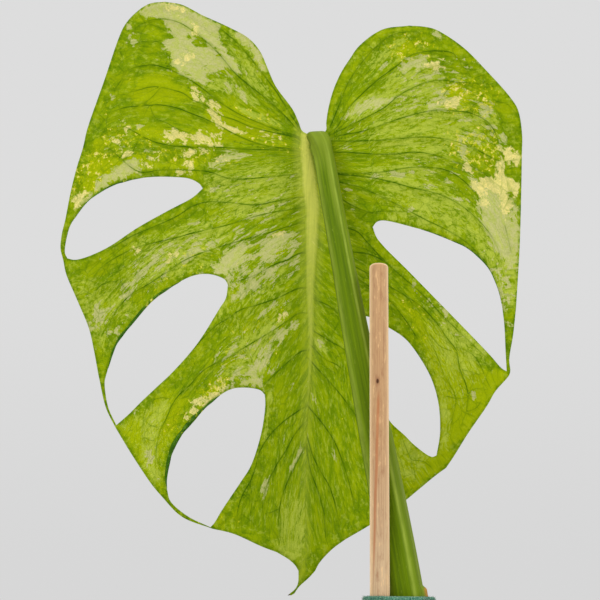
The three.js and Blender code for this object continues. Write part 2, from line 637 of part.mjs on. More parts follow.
// The strap is the tightest line round the stake and the petiole, let out by an even amount
function tieGeometry(frames) {
  const low = TIE_TOP - TIE_WIDTH;
  const near = frames.filter((frame) => frame.position.z > low - 6 && frame.position.z < TIE_TOP + 6);
  const within = near.flatMap((frame) => petioleRing(frame));
  const axis = STAKE_HEAD.clone().sub(STAKE_FOOT);
  [low, TIE_TOP].forEach((height) => {
    const centre = STAKE_FOOT.clone().addScaledVector(axis, (height - STAKE_FOOT.z) / axis.z);
    for (let i = 0; i < 24; i += 1) {
      const angle = (i / 24) * 2 * Math.PI;
      within.push(new THREE.Vector3(
        centre.x + STAKE_RADIUS * Math.cos(angle), centre.y + STAKE_RADIUS * Math.sin(angle), height,
      ));
    }
  });
  const loops = { inner: [], outer: [] };
  for (let i = 0; i < TIE_SIDES; i += 1) {
    const angle = (i / TIE_SIDES) * 2 * Math.PI;
    const out = new THREE.Vector3(Math.cos(angle), Math.sin(angle), 0);
    const touch = within.reduce((best, p) => (p.dot(out) > best.dot(out) ? p : best));
    const lap = TIE_LAP_THICKNESS * bell(angle - TIE_LAP_ANGLE, TIE_LAP_SPREAD);
    loops.inner.push(touch.clone().addScaledVector(out, GAP));
    loops.outer.push(touch.clone().addScaledVector(out, GAP + TIE_THICKNESS + lap));
  }
  const points = [];
  const corners = [[loops.inner, low], [loops.outer, low], [loops.outer, TIE_TOP], [loops.inner, TIE_TOP]];
  corners.forEach(([loop, z]) => loop.forEach((p) => points.push(new THREE.Vector3(p.x, p.y, z))));
  const triangles = [];
  for (let k = 0; k < 4; k += 1) {
    for (let i = 0; i < TIE_SIDES; i += 1) {
      const a = k * TIE_SIDES + i;
      const b = k * TIE_SIDES + ((i + 1) % TIE_SIDES);
      const c = ((k + 1) % 4) * TIE_SIDES + ((i + 1) % TIE_SIDES);
      const d = ((k + 1) % 4) * TIE_SIDES + i;
      triangles.push([a, b, c], [a, c, d]);
    }
  }
  return fromTriangles(points, triangles);
}

const material = (color, roughness) => new THREE.MeshStandardMaterial({ color, roughness, metalness: 0 });
const plant = new THREE.Group();

function addPiece(name, geometry, look) {
  const mesh = new THREE.Mesh(geometry, look);
  mesh.name = name;
  plant.add(mesh);
}

const flat = flatBlade();
const frames = petioleFrames();
const stem = toSolid(stemGeometry(0, 0)).add(toSolid(rootGeometry(0, 0)));
const stemClear = toSolid(stemGeometry(GAP, GAP)).add(toSolid(rootGeometry(GAP, GAP)));
const petiole = toSolid(skinRings(frames.map(petioleRing)))
  .subtract(stemClear)
  .subtract(toSolid(bladeGeometry(flat, GAP)))
  .subtract(blockBehindJoint());

addPiece("pot", potGeometry(), material(0x2b2d30, 0.6));
addPiece("soil", soilGeometry([stemClear, toSolid(stakeGeometry(GAP, GAP))]), material(0x3a2a1e, 0.95));
addPiece("stem", toGeometry(stem), material(0x5f7a34, 0.5));
addPiece("petiole", toGeometry(biggestPiece(petiole)), material(0x4d6b12, 0.4));
addPiece("leaf_blade", bladeGeometry(flat, 0), material(0x8a9e1e, 0.45));
addPiece("stake", stakeGeometry(0, 0), material(0xd2b088, 0.65));
addPiece("tie", tieGeometry(frames), material(0x4d7f66, 0.95));

export default plant;
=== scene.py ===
"""Dress the potted monstera: one variegated leaf on its petiole, tied to a stake, in a pot of soil.

Shapes are worked out in millimetres, in the frame of the CAD model, and written to the meshes in
metres. The leaf is laid out flat, to the right of and up from the joint of petiole and blade, and
then given its depth away from the eye.
"""

import logging
from collections.abc import Iterator
from dataclasses import dataclass, field
from enum import Enum

import bpy
import numpy as np
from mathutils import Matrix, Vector


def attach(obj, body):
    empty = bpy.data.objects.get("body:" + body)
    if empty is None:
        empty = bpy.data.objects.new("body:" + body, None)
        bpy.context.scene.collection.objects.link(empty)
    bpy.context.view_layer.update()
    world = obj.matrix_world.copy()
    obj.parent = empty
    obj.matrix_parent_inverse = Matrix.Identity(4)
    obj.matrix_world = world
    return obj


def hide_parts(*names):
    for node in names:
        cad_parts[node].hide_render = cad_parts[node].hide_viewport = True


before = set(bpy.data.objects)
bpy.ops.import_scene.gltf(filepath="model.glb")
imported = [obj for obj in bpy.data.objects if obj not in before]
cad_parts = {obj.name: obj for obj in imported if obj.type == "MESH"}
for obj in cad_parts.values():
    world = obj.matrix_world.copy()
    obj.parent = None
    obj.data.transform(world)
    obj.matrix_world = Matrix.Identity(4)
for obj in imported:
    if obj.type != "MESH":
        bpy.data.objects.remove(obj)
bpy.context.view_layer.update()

LOG = logging.getLogger("monstera")
METRES = 0.001
SPAN_SAMPLES = 24  # Samples of a curve between two of its points
NOISE_CELLS = 64  # Cells along each side of the noise's table, which then repeats
WELD_STEPS = 2e4  # Steps in a millimetre: points on the same step are one
SHARP_DEGREES = 55
FULL_TURN = 2 * np.pi
Points = list[tuple[float, float]]
Socket = bpy.types.NodeSocket
Colour = tuple[float, float, float]
Scale = float | tuple[float, ...]


class Side(Enum):
    """Which half of the blade a field belongs to, as the sign of its right coordinate."""

    LEFT = -1
    RIGHT = 1


class Shade(Enum):
    """The variegation: three colours with edges, three that drift in as flecks, and gaps in a patch."""

    MINT = 0
    CREAM = 1
    LIME = 2
    HAZE = 3
    FLECK = 4
    YELLOW = 5
    GAP = 6


def srgb(red: float, green: float, blue: float) -> Colour:
    """Turn a display colour of 0 to 255 into linear light.

    Args:
        red: Display red.
        green: Display green.
        blue: Display blue.

    Returns:
        The three linear values.
    """
    values = np.array([red, green, blue]) / 255
    linear = np.where(values <= 0.04045, values / 12.92, ((values + 0.055) / 1.055) ** 2.4)
    return tuple(float(v) for v in linear)


def smooth(low: float, high: float, x: np.ndarray) -> np.ndarray:
    """Rise smoothly from 0 at low to 1 at high.

    Args:
        low: Where the rise starts.
        high: Where the rise ends.
        x: Places to read.

    Returns:
        The eased share at each place.
    """
    t = np.clip((np.asarray(x, float) - low) / (high - low), 0, 1)
    return t * t * (3 - 2 * t)


def bell(x: np.ndarray, spread: float) -> np.ndarray:
    """Give 1 at x = 0, falling to 1/e at the spread."""
    return np.exp(-((np.asarray(x, float) / spread) ** 2))


def spline(points: np.ndarray, per_span: int = SPAN_SAMPLES) -> np.ndarray:
    """Follow a centripetal Catmull-Rom curve through the points.

    Each span blends its four neighbouring points, with knots spaced by the square root of the
    distance between them. Beyond each end lies the mirror image of the second point.

    Args:
        points: Points to pass through, one a row.
        per_span: Samples on each span.

    Returns:
        A dense line of points.
    """
    p = np.asarray(points, float)
    p = np.vstack([2 * p[0] - p[1], p, 2 * p[-1] - p[-2]])
    gaps = np.maximum(np.linalg.norm(np.diff(p, axis=0), axis=1) ** 0.5, 1e-6)
    p0, p1, p2, p3 = (p[i:len(p) - 3 + i, None] for i in range(4))
    g0, g1, g2 = (gaps[i:len(gaps) - 2 + i, None, None] for i in range(3))
    u = np.linspace(0, 1, per_span, endpoint=False)[None, :, None] * g1
    a1 = -u / g0 * p0 + (u + g0) / g0 * p1
    a2 = (g1 - u) / g1 * p1 + u / g1 * p2
    a3 = (g1 + g2 - u) / g2 * p2 + (u - g1) / g2 * p3
    b1 = (g1 - u) / (g0 + g1) * a1 + (u + g0) / (g0 + g1) * a2
    b2 = (g1 + g2 - u) / (g1 + g2) * a2 + u / (g1 + g2) * a3
    curve = (g1 - u) / g1 * b1 + u / g1 * b2
    return np.vstack([curve.reshape(-1, p.shape[1]), p[-2]])


def shares_of(line: np.ndarray) -> np.ndarray:
    """Give the share of a line's length at each of its points."""
    run = np.concatenate([[0], np.cumsum(np.linalg.norm(np.diff(line, axis=0), axis=1))])
    return run / run[-1]


def along(points: np.ndarray, shares: np.ndarray) -> np.ndarray:
    """Read the curve through some points at shares of its length.

    Args:
        points: Points to pass through.
        shares: Shares of the length, from 0 to 1.

    Returns:
        One point for each share.
    """
    line = spline(points)
    at = shares_of(line)
    return np.stack([np.interp(shares, at, line[:, k]) for k in range(line.shape[1])], axis=1)


def eased_ends(cells: int, amount: float = 0.55) -> np.ndarray:
    """Give shares from 0 to 1 that lie closer together at both ends."""
    u = np.linspace(0, 1, cells + 1)
    return (1 - amount) * u + amount / 2 * (1 - np.cos(np.pi * u))


def lattice_noise(x: np.ndarray, y: np.ndarray, size: float, seed: int) -> np.ndarray:
    """Blend seeded random values on a square lattice, from -1 to 1.

    Args:
        x: First coordinate.
        y: Second coordinate.
        size: Width of a lattice cell.
        seed: Seed of the random values.

    Returns:
        The smooth noise at each place.
    """
    values = np.random.default_rng(seed).uniform(-1, 1, (NOISE_CELLS, NOISE_CELLS))
    u, v = np.asarray(x, float) / size, np.asarray(y, float) / size
    i, j = np.floor(u).astype(int), np.floor(v).astype(int)
    fu, fv = smooth(0, 1, u - i), smooth(0, 1, v - j)
    here, beyond = i % NOISE_CELLS, (i + 1) % NOISE_CELLS
    near, far = (values[here, k % NOISE_CELLS] * (1 - fu) + values[beyond, k % NOISE_CELLS] * fu
                 for k in (j, j + 1))
    return near * (1 - fv) + far * fv


def full_turn(count: int) -> np.ndarray:
    """Give the angles of a full turn in even steps."""
    return np.arange(count) / count * FULL_TURN


def read_at(places: np.ndarray, values: tuple[float, ...]) -> np.ndarray:
    """Read between values at places that count them from 0."""
    return np.interp(places, np.arange(len(values)), values)


def triples(shape: int | tuple[int, ...], *parts: object) -> np.ndarray:
    """Put three parts side by side, each a number or an array, at every place of a shape."""
    return np.stack([np.broadcast_to(part, shape) for part in parts], axis=-1)


def unit(vectors: np.ndarray) -> np.ndarray:
    """Bring each vector to a length of 1."""
    return vectors / np.linalg.norm(vectors, axis=-1, keepdims=True)


def nearest(points: np.ndarray, line: np.ndarray,
            chunk: int = 2000) -> tuple[np.ndarray, np.ndarray]:
    """Find the nearest sample of a line to each point.

    Args:
        points: Points to measure from.
        line: Samples of the line.
        chunk: Points measured at a time.

    Returns:
        The distances, and the index of the nearest sample.
    """
    distance = np.empty(len(points))
    index = np.empty(len(points), int)
    for start in range(0, len(points), chunk):
        part = points[start:start + chunk]
        squares = ((part[:, None] - line[None]) ** 2).sum(axis=2)
        index[start:start + chunk] = squares.argmin(axis=1)
        distance[start:start + chunk] = np.sqrt(squares.min(axis=1))
    return distance, index


def inside_by(points: np.ndarray, outline: Points) -> np.ndarray:
    """Measure how far each point lies inside an outline, less than 0 outside it.

    The distance is the smallest one to the outline's edges, and a point is inside where a line from
    it crosses the edges an odd number of times.

    Args:
        points: Places to measure.
        outline: Corners in order.

    Returns:
        The distance in from the edge.
    """
    a = np.array(outline, float)
    way = np.roll(a, -1, axis=0) - a
    offset = points[:, None] - a
    t = np.clip((offset * way).sum(axis=2) / (way ** 2).sum(axis=1), 0, 1)
    distance = np.linalg.norm(offset - t[..., None] * way, axis=2).min(axis=1)
    y = points[:, 1:2]
    spans = (a[:, 1] > y) != (a[:, 1] + way[:, 1] > y)
    rise = np.where(way[:, 1] == 0, 1e-9, way[:, 1])
    crossed = spans & (points[:, 0:1] < a[:, 0] + (y - a[:, 1]) * way[:, 0] / rise)
    return np.where(crossed.sum(axis=1) % 2 == 1, distance, -distance)


def merged(points: np.ndarray) -> tuple[np.ndarray, np.ndarray]:
    """Find the points that are in one place.

    Args:
        points: Points in millimetres.

    Returns:
        The index of each place's first point, and each point's place.
    """
    steps = np.round(points * WELD_STEPS).astype(np.int64)
    _, first, same = np.unique(steps, axis=0, return_index=True, return_inverse=True)
    return first, same.ravel()


def parted(quads: np.ndarray) -> tuple[np.ndarray, np.ndarray]:
    """Part true quads from those that have a repeated corner, which become triangles.

    Args:
        quads: Quads, some of them with two corners in one place.

    Returns:
        The true quads and the triangles.
    """
    repeat = quads == np.roll(quads, -1, axis=1)
    partial = repeat.sum(axis=1) == 1
    return quads[~repeat.any(axis=1)], quads[partial][~repeat[partial]].reshape(-1, 3)


def grid_quads(rows: int, columns: int, loop_rows: bool = False,
               loop_columns: bool = True) -> np.ndarray:
    """Index the quads between rows of points.

    Args:
        rows: Number of rows.
        columns: Points in a row.
        loop_rows: Whether the last row joins the first.
        loop_columns: Whether the last point of a row joins its first.

    Returns:
        Quads that face outwards where a row turns anticlockwise about the way to the next row.
    """
    k, i = np.meshgrid(np.arange(rows if loop_rows else rows - 1),
                       np.arange(columns if loop_columns else columns - 1), indexing="ij")
    row, next_row, right = k * columns, (k + 1) % rows * columns, (i + 1) % columns
    return np.stack([row + i, row + right, next_row + right, next_row + i], axis=-1).reshape(-1, 4)


@dataclass
class Skin:
    """A mesh in the making: points in millimetres, faces, and values at its points."""

    points: np.ndarray
    quads: np.ndarray = field(default_factory=lambda: np.empty((0, 4), int))
    triangles: np.ndarray = field(default_factory=lambda: np.empty((0, 3), int))
    values: dict[str, np.ndarray] = field(default_factory=dict)
    quad_material: np.ndarray | None = None
    triangle_material: np.ndarray | None = None

    def __post_init__(self) -> None:
        """Give the faces the first material where nothing else is said."""
        if self.quad_material is None:
            self.quad_material = np.zeros(len(self.quads), int)
        if self.triangle_material is None:
            self.triangle_material = np.zeros(len(self.triangles), int)

    def joined(self, other: "Skin") -> "Skin":
        """Put another skin beside this one in one mesh.

        Args:
            other: A skin with the same named values.

        Returns:
            The two as one skin.
        """
        shift = len(self.points)
        return Skin(
            np.vstack([self.points, other.points]),
            np.vstack([self.quads, other.quads + shift]),
            np.vstack([self.triangles, other.triangles + shift]),
            {name: np.concatenate([self.values[name], other.values[name]]) for name in self.values},
            np.concatenate([self.quad_material, other.quad_material]),
            np.concatenate([self.triangle_material, other.triangle_material]),
        )

    def welded(self) -> "Skin":
        """Merge points in one place, and turn quads with a repeated corner into triangles.

        Returns:
            The skin with shared points. Its faces must have one material.
        """
        first, same = merged(self.points)
        quads, triangles = parted(same[self.quads])
        values = {name: value[first] for name, value in self.values.items()}
        return Skin(self.points[first], quads, np.vstack([same[self.triangles], triangles]), values)

    def build(self, name: str, materials: list[bpy.types.Material], node: str | None,
              slot: str) -> bpy.types.Object:
        """Write the skin into a Blender object that rides on the model's body.

        Args:
            name: Name of the piece.
            materials: Materials by index.
            node: The CAD node that it stands for, or None.
            slot: The record's material slot. Not used.

        Returns:
            The new object.
        """
        mesh = bpy.data.meshes.new(name)
        faces = self.quads.tolist() + self.triangles.tolist()
        mesh.from_pydata((self.points * METRES).tolist(), [], faces)
        for material in materials:
            mesh.materials.append(material)
        indices = np.concatenate([self.quad_material, self.triangle_material])
        mesh.polygons.foreach_set("material_index", indices)
        mesh.polygons.foreach_set("use_smooth", np.ones(len(mesh.polygons), bool))
        for label, values in self.values.items():
            layer = mesh.attributes.new(label, "FLOAT_VECTOR", "POINT")
            layer.data.foreach_set("vector", values.astype(np.float32).ravel())
        mesh.update()
        mesh.set_sharp_from_angle(angle=np.radians(SHARP_DEGREES))
        piece = bpy.data.objects.new(name, mesh)
        bpy.context.scene.collection.objects.link(piece)
        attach(piece, "root")
        if node:
            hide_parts(node)
        LOG.info("%s: %d points, %d faces", name, len(mesh.vertices), len(mesh.polygons))
        return piece


def closed_tube(rings: np.ndarray, values: dict[str, np.ndarray]) -> Skin:
    """Skin rings of points and close both ends with a fan to the ring's middle.

    Args:
        rings: Points as (ring, side, 3), turning anticlockwise about the way along.
        values: Named values as (ring, side, 3).

    Returns:
        The closed skin.
    """
    count, sides, _ = rings.shape
    points, *carried = (np.vstack([part.reshape(-1, 3), part[0].mean(axis=0), part[-1].mean(axis=0)])
                        for part in (rings, *values.values()))
    i = np.arange(sides)
    j = (i + 1) % sides
    last = (count - 1) * sides
    first_fan = np.stack([j, i, np.full(sides, count * sides)], axis=1)
    last_fan = np.stack([last + i, last + j, np.full(sides, count * sides + 1)], axis=1)
    fans = np.vstack([first_fan, last_fan])
    return Skin(points, grid_quads(count, sides), fans, dict(zip(values, carried)))


@dataclass
class Path:
    """Frames carried along a curve without twist: points, tangents, fronts and sides."""

    points: np.ndarray
    tangents: np.ndarray
    fronts: np.ndarray
    sides: np.ndarray
    places: np.ndarray

    @staticmethod
    def through(points: np.ndarray, steps: int) -> "Path":
        """Carry a frame along the curve, starting with its front toward -Y.

        Each front is the one before it, less its part along the new tangent.

        Args:
            points: Points to pass through.
            steps: Number of even steps.

        Returns:
            The path, whose places count the given points from 0.
        """
        shares = np.linspace(0, 1, steps + 1)
        spots = along(points, shares)
        line = spline(points)
        places = np.interp(shares, shares_of(line), np.arange(len(line)) / SPAN_SAMPLES)
        tangents = unit(np.gradient(spots, axis=0))
        fronts = np.empty_like(spots)
        front = np.array([0.0, -1.0, 0.0])
        for k, tangent in enumerate(tangents):
            front = front - front @ tangent * tangent
            front /= np.linalg.norm(front)
            fronts[k] = front
        return Path(spots, tangents, fronts, np.cross(tangents, fronts), places)

    def rings(self, angles: np.ndarray, radii: np.ndarray) -> np.ndarray:
        """Place a ring of points about each station.

        Args:
            angles: Angles from the front, toward the side.
            radii: Radius as (station, angle).

        Returns:
            Points as (station, angle, 3).
        """
        front = self.fronts[:, None] * np.cos(angles)[None, :, None]
        side = self.sides[:, None] * np.sin(angles)[None, :, None]
        return self.points[:, None] + (front + side) * radii[..., None]


class Value:
    """What a socket gives, so that plain arithmetic adds Math nodes."""

    def __init__(self, graph: "Graph", socket: Socket) -> None:
        """Keep the socket and its graph."""
        self.graph = graph
        self.socket = socket

    def __add__(self, other: "Value | float") -> "Value":
        """Add a value or a number."""
        return self.graph.math("ADD", self, other)

    def __sub__(self, other: "Value | float") -> "Value":
        """Take a value or a number away."""
        return self.graph.math("SUBTRACT", self, other)

    def __rsub__(self, other: float) -> "Value":
        """Take this away from a number."""
        return self.graph.math("SUBTRACT", other, self)

    def __mul__(self, other: "Value | float") -> "Value":
        """Multiply by a value or a number."""
        return self.graph.math("MULTIPLY", self, other)

    def __rtruediv__(self, other: float) -> "Value":
        """Divide a number by this."""
        return self.graph.math("DIVIDE", other, self)


class Graph:
    """A node tree under construction, with a short call for each kind of node."""

    def __init__(self, tree: bpy.types.NodeTree) -> None:
        """Keep the tree that the calls add to."""
        self.tree = tree

    def put(self, socket: Socket, value: object) -> None:
        """Fill an input.

        Args:
            socket: The input.
            value: A value of the graph, which is linked, or the input's own number, colour or vector.
        """
        if isinstance(value, Value):
            self.tree.links.new(value.socket, socket)
        elif socket.type == "RGBA":
            socket.default_value = (*value, 1.0)
        else:
            socket.default_value = value

    def node(self, kind: str, inputs: dict[int | str, object],
             **settings: object) -> bpy.types.Node:
        """Add a node.

        Args:
            kind: Blender's name for the node's class.
            inputs: What goes into it, by number or name of the socket.
            **settings: Its properties by name.

        Returns:
            The new node.
        """
        node = self.tree.nodes.new(kind)
        for key, value in settings.items():
            setattr(node, key, value)
        for key, value in inputs.items():
            self.put(node.inputs[key], value)
        return node

    def read(self, kind: str, inputs: dict[int | str, object], output: int | str = 0,
             **settings: object) -> Value:
        """Add a node and give one of its outputs.

        Args:
            kind: Blender's name for the node's class.
            inputs: What goes into it, by number or name of the socket.
            output: Number or name of the output.
            **settings: Its properties by name.

        Returns:
            The output's value.
        """
        return Value(self, self.node(kind, inputs, **settings).outputs[output])

    def math(self, operation: str, *values: object) -> Value:
        """Work out one value from up to three."""
        return self.read("ShaderNodeMath", dict(enumerate(values)), operation=operation)

    def swing(self, base: Value, noise: Value, middle: float, amount: float) -> Value:
        """Shift a value by noise: base + (noise - middle) x amount."""
        return self.math("MULTIPLY_ADD", noise - middle, amount, base)

    def rise(self, value: Value, low: object, high: object, to_low: float = 0.0,
             to_high: float = 1.0) -> Value:
        """Map a value smoothly from one range to another, held at the ends.

        Args:
            value: The value to map.
            low: Where the rise starts.
            high: Where the rise ends.
            to_low: Result below the rise.
            to_high: Result above the rise.

        Returns:
            The mapped value.
        """
        inputs = dict(enumerate((value, low, high, to_low, to_high)))
        return self.read("ShaderNodeMapRange", inputs, interpolation_type="SMOOTHSTEP")

    def blend(self, factor: Value, first: object, second: object, how: str = "MIX") -> Value:
        """Blend two colours.

        Args:
            factor: Share of the second colour.
            first: First colour.
            second: Second colour.
            how: Blend type.

        Returns:
            The blended colour.
        """
        inputs = {0: factor, 6: first, 7: second}
        return self.read("ShaderNodeMix", inputs, 2, data_type="RGBA", blend_type=how,
                         clamp_factor=True)

    def layers(self, colour: object, *coats: tuple) -> Value:
        """Lay coats over a colour in order.

        Args:
            colour: The ground.
            *coats: Mask and colour of each coat, and how it blends where that isn't plain.

        Returns:
            The blended colour.
        """
        for mask, tint, *how in coats:
            colour = self.blend(mask, colour, tint, *how)
        return colour

    def vector(self, x: object, y: object, z: float = 0.0) -> Value:
        """Put three parts together."""
        return self.read("ShaderNodeCombineXYZ", {0: x, 1: y, 2: z})

    def split(self, vector: Value) -> list[Value]:
        """Give the three parts of a vector or a colour."""
        node = self.node("ShaderNodeSeparateXYZ", {0: vector})
        return [Value(self, output) for output in node.outputs]

    def scaled(self, vector: Value, factors: object) -> Value:
        """Stretch a place by a factor on each axis."""
        return self.read("ShaderNodeVectorMath", {0: vector, 1: factors}, operation="MULTIPLY")

    def stretched(self, place: Value, scale: Scale) -> tuple[Value, float]:
        """Take a factor for each axis into the place, which leaves a scale of 1."""
        return (self.scaled(place, scale), 1.0) if isinstance(scale, tuple) else (place, scale)

    def noise(self, place: Value, scale: Scale, detail: float = 3.0,
              roughness: float = 0.5) -> Value:
        """Read smooth noise of 0 to 1 at a place.

        Args:
            place: Place.
            scale: Waves in a unit of length, or a factor for each axis.
            detail: Octaves.
            roughness: Strength of the finer octaves.

        Returns:
            The noise value.
        """
        place, scale = self.stretched(place, scale)
        inputs = {"Vector": place, "Scale": scale, "Detail": detail, "Roughness": roughness}
        return self.read("ShaderNodeTexNoise", inputs)

    def cells(self, place: Value, scale: Scale, output: str, feature: str = "F1") -> Value:
        """Split space into cells and read one of their outputs.

        Args:
            place: Place.
            scale: Cells in a unit of length, or a factor for each axis.
            output: Name of the output.
            feature: Voronoi feature.

        Returns:
            The output's value.
        """
        place, scale = self.stretched(place, scale)
        return self.read("ShaderNodeTexVoronoi", {"Vector": place, "Scale": scale}, output,
                         feature=feature)

    def attribute(self, name: str) -> Value:
        """Read a named vector of the mesh."""
        return self.read("ShaderNodeAttribute", {}, "Vector", attribute_name=name)

    def coordinates(self, kind: str = "Object") -> Value:
        """Read the place in the object's own space, or another kind of coordinates."""
        return self.read("ShaderNodeTexCoord", {}, kind)

    def lengthwise(self, name: str) -> tuple[Value, Value, Value]:
        """Read a named place around and up, and the same place with its length first."""
        around, up, _ = self.split(self.attribute(name))
        return around, up, self.vector(up, around)

    def streaks(self, place: Value, length: float, width: float, low: float, high: float) -> Value:
        """Use the shared fibre streaks.

        Args:
            place: Place, with its length first.
            length: Length of a streak.
            width: Width of a streak.
            low: Noise level where a streak starts.
            high: Noise level where it is full.

        Returns:
            The streaks' mask.
        """
        inputs = {"Vector": place, "Length": length, "Width": width, "Low": low, "High": high}
        return self.read("ShaderNodeGroup", inputs, node_tree=STREAKS)

    def line(self, distance: Value, half_width: object, softness: float) -> Value:
        """Use the shared soft line.

        Args:
            distance: Distance from the line's middle.
            half_width: Half its width.
            softness: Width of its edge.

        Returns:
            The line's mask.
        """
        inputs = {"Distance": distance, "Half Width": half_width, "Softness": softness}
        return self.read("ShaderNodeGroup", inputs, node_tree=LINE)


class Effect(Graph):
    """A node group under construction, with named inputs and one number out."""

    def __init__(self, name: str, output: str, inputs: dict[str, float | None]) -> None:
        """Start the group.

        Args:
            name: The group's name.
            output: Name of the output.
            inputs: Default of each number that goes in, or None for a vector, by name.
        """
        super().__init__(bpy.data.node_groups.new(name, "ShaderNodeTree"))
        for label, value in inputs.items():
            kind = "NodeSocketVector" if value is None else "NodeSocketFloat"
            socket = self.tree.interface.new_socket(label, in_out="INPUT", socket_type=kind)
            if value is not None:
                socket.default_value = value
        self.tree.interface.new_socket(output, in_out="OUTPUT", socket_type="NodeSocketFloat")
        start = self.node("NodeGroupInput", {})
        self.inputs = [Value(self, start.outputs[label]) for label in inputs]

    def finished(self, result: Value) -> bpy.types.NodeTree:
        """Send the result out and give the group."""
        self.node("NodeGroupOutput", {0: result})
        return self.tree


def make_streaks() -> bpy.types.NodeTree:
    """Make the fibre streaks that leaf, petiole, stem and wood share.

    Noise that is long on X and short on Y, cut between two levels.

    Returns:
        The node group.
    """
    effect = Effect("Fibre streaks", "Streak",
                    {"Vector": None, "Length": 10.0, "Width": 1.0, "Low": 0.45, "High": 0.6})
    place, length, width, low, high = effect.inputs
    stretch = effect.vector(1.0 / length, 1.0 / width, 1.0)
    noise = effect.noise(effect.scaled(place, stretch), 1.0, 5.0, 0.62)
    return effect.finished(effect.rise(noise, low, high))


def make_line() -> bpy.types.NodeTree:
    """Make the soft-edged line that veins, ridges and grain lines share.

    1 within the half width of a distance of 0, falling smoothly to 0 over the softness.

    Returns:
        The node group.
    """
    effect = Effect("Soft line", "Line", {"Distance": 0.0, "Half Width": 0.3, "Softness": 0.3})
    distance, half_width, softness = effect.inputs
    size = effect.math("ABSOLUTE", distance)
    return effect.finished(effect.rise(size, half_width, half_width + softness, 1.0, 0.0))


STREAKS = make_streaks()
LINE = make_line()


class Surface(Graph):
    """The graph of one material, round its Principled shader."""

    def __init__(self, name: str, **constants: object) -> None:
        """Make the material and set what is the same all over it.

        Args:
            name: The material's name.
            **constants: Principled inputs by name, with an underscore for each space.
        """
        self.material = bpy.data.materials.new(name)
        self.material.use_nodes = True
        super().__init__(self.material.node_tree)
        self.shader = self.tree.nodes["Principled BSDF"]
        for key, value in constants.items():
            self.put(self.shader.inputs[key.replace("_", " ")], value)

    def finished(self, colour: Value, height: Value, strength: float,
                 distance: float) -> bpy.types.Material:
        """Give the shader its colour and its relief.

        Args:
            colour: The colour.
            height: Height of 0 to 1.
            strength: Share of the relief.
            distance: Height of 1, in metres.

        Returns:
            The material.
        """
        normal = self.read("ShaderNodeBump",
                           {"Height": height, "Strength": strength, "Distance": distance})
        self.put(self.shader.inputs["Base Color"], colour)
        self.put(self.shader.inputs["Normal"], normal)
        return self.material


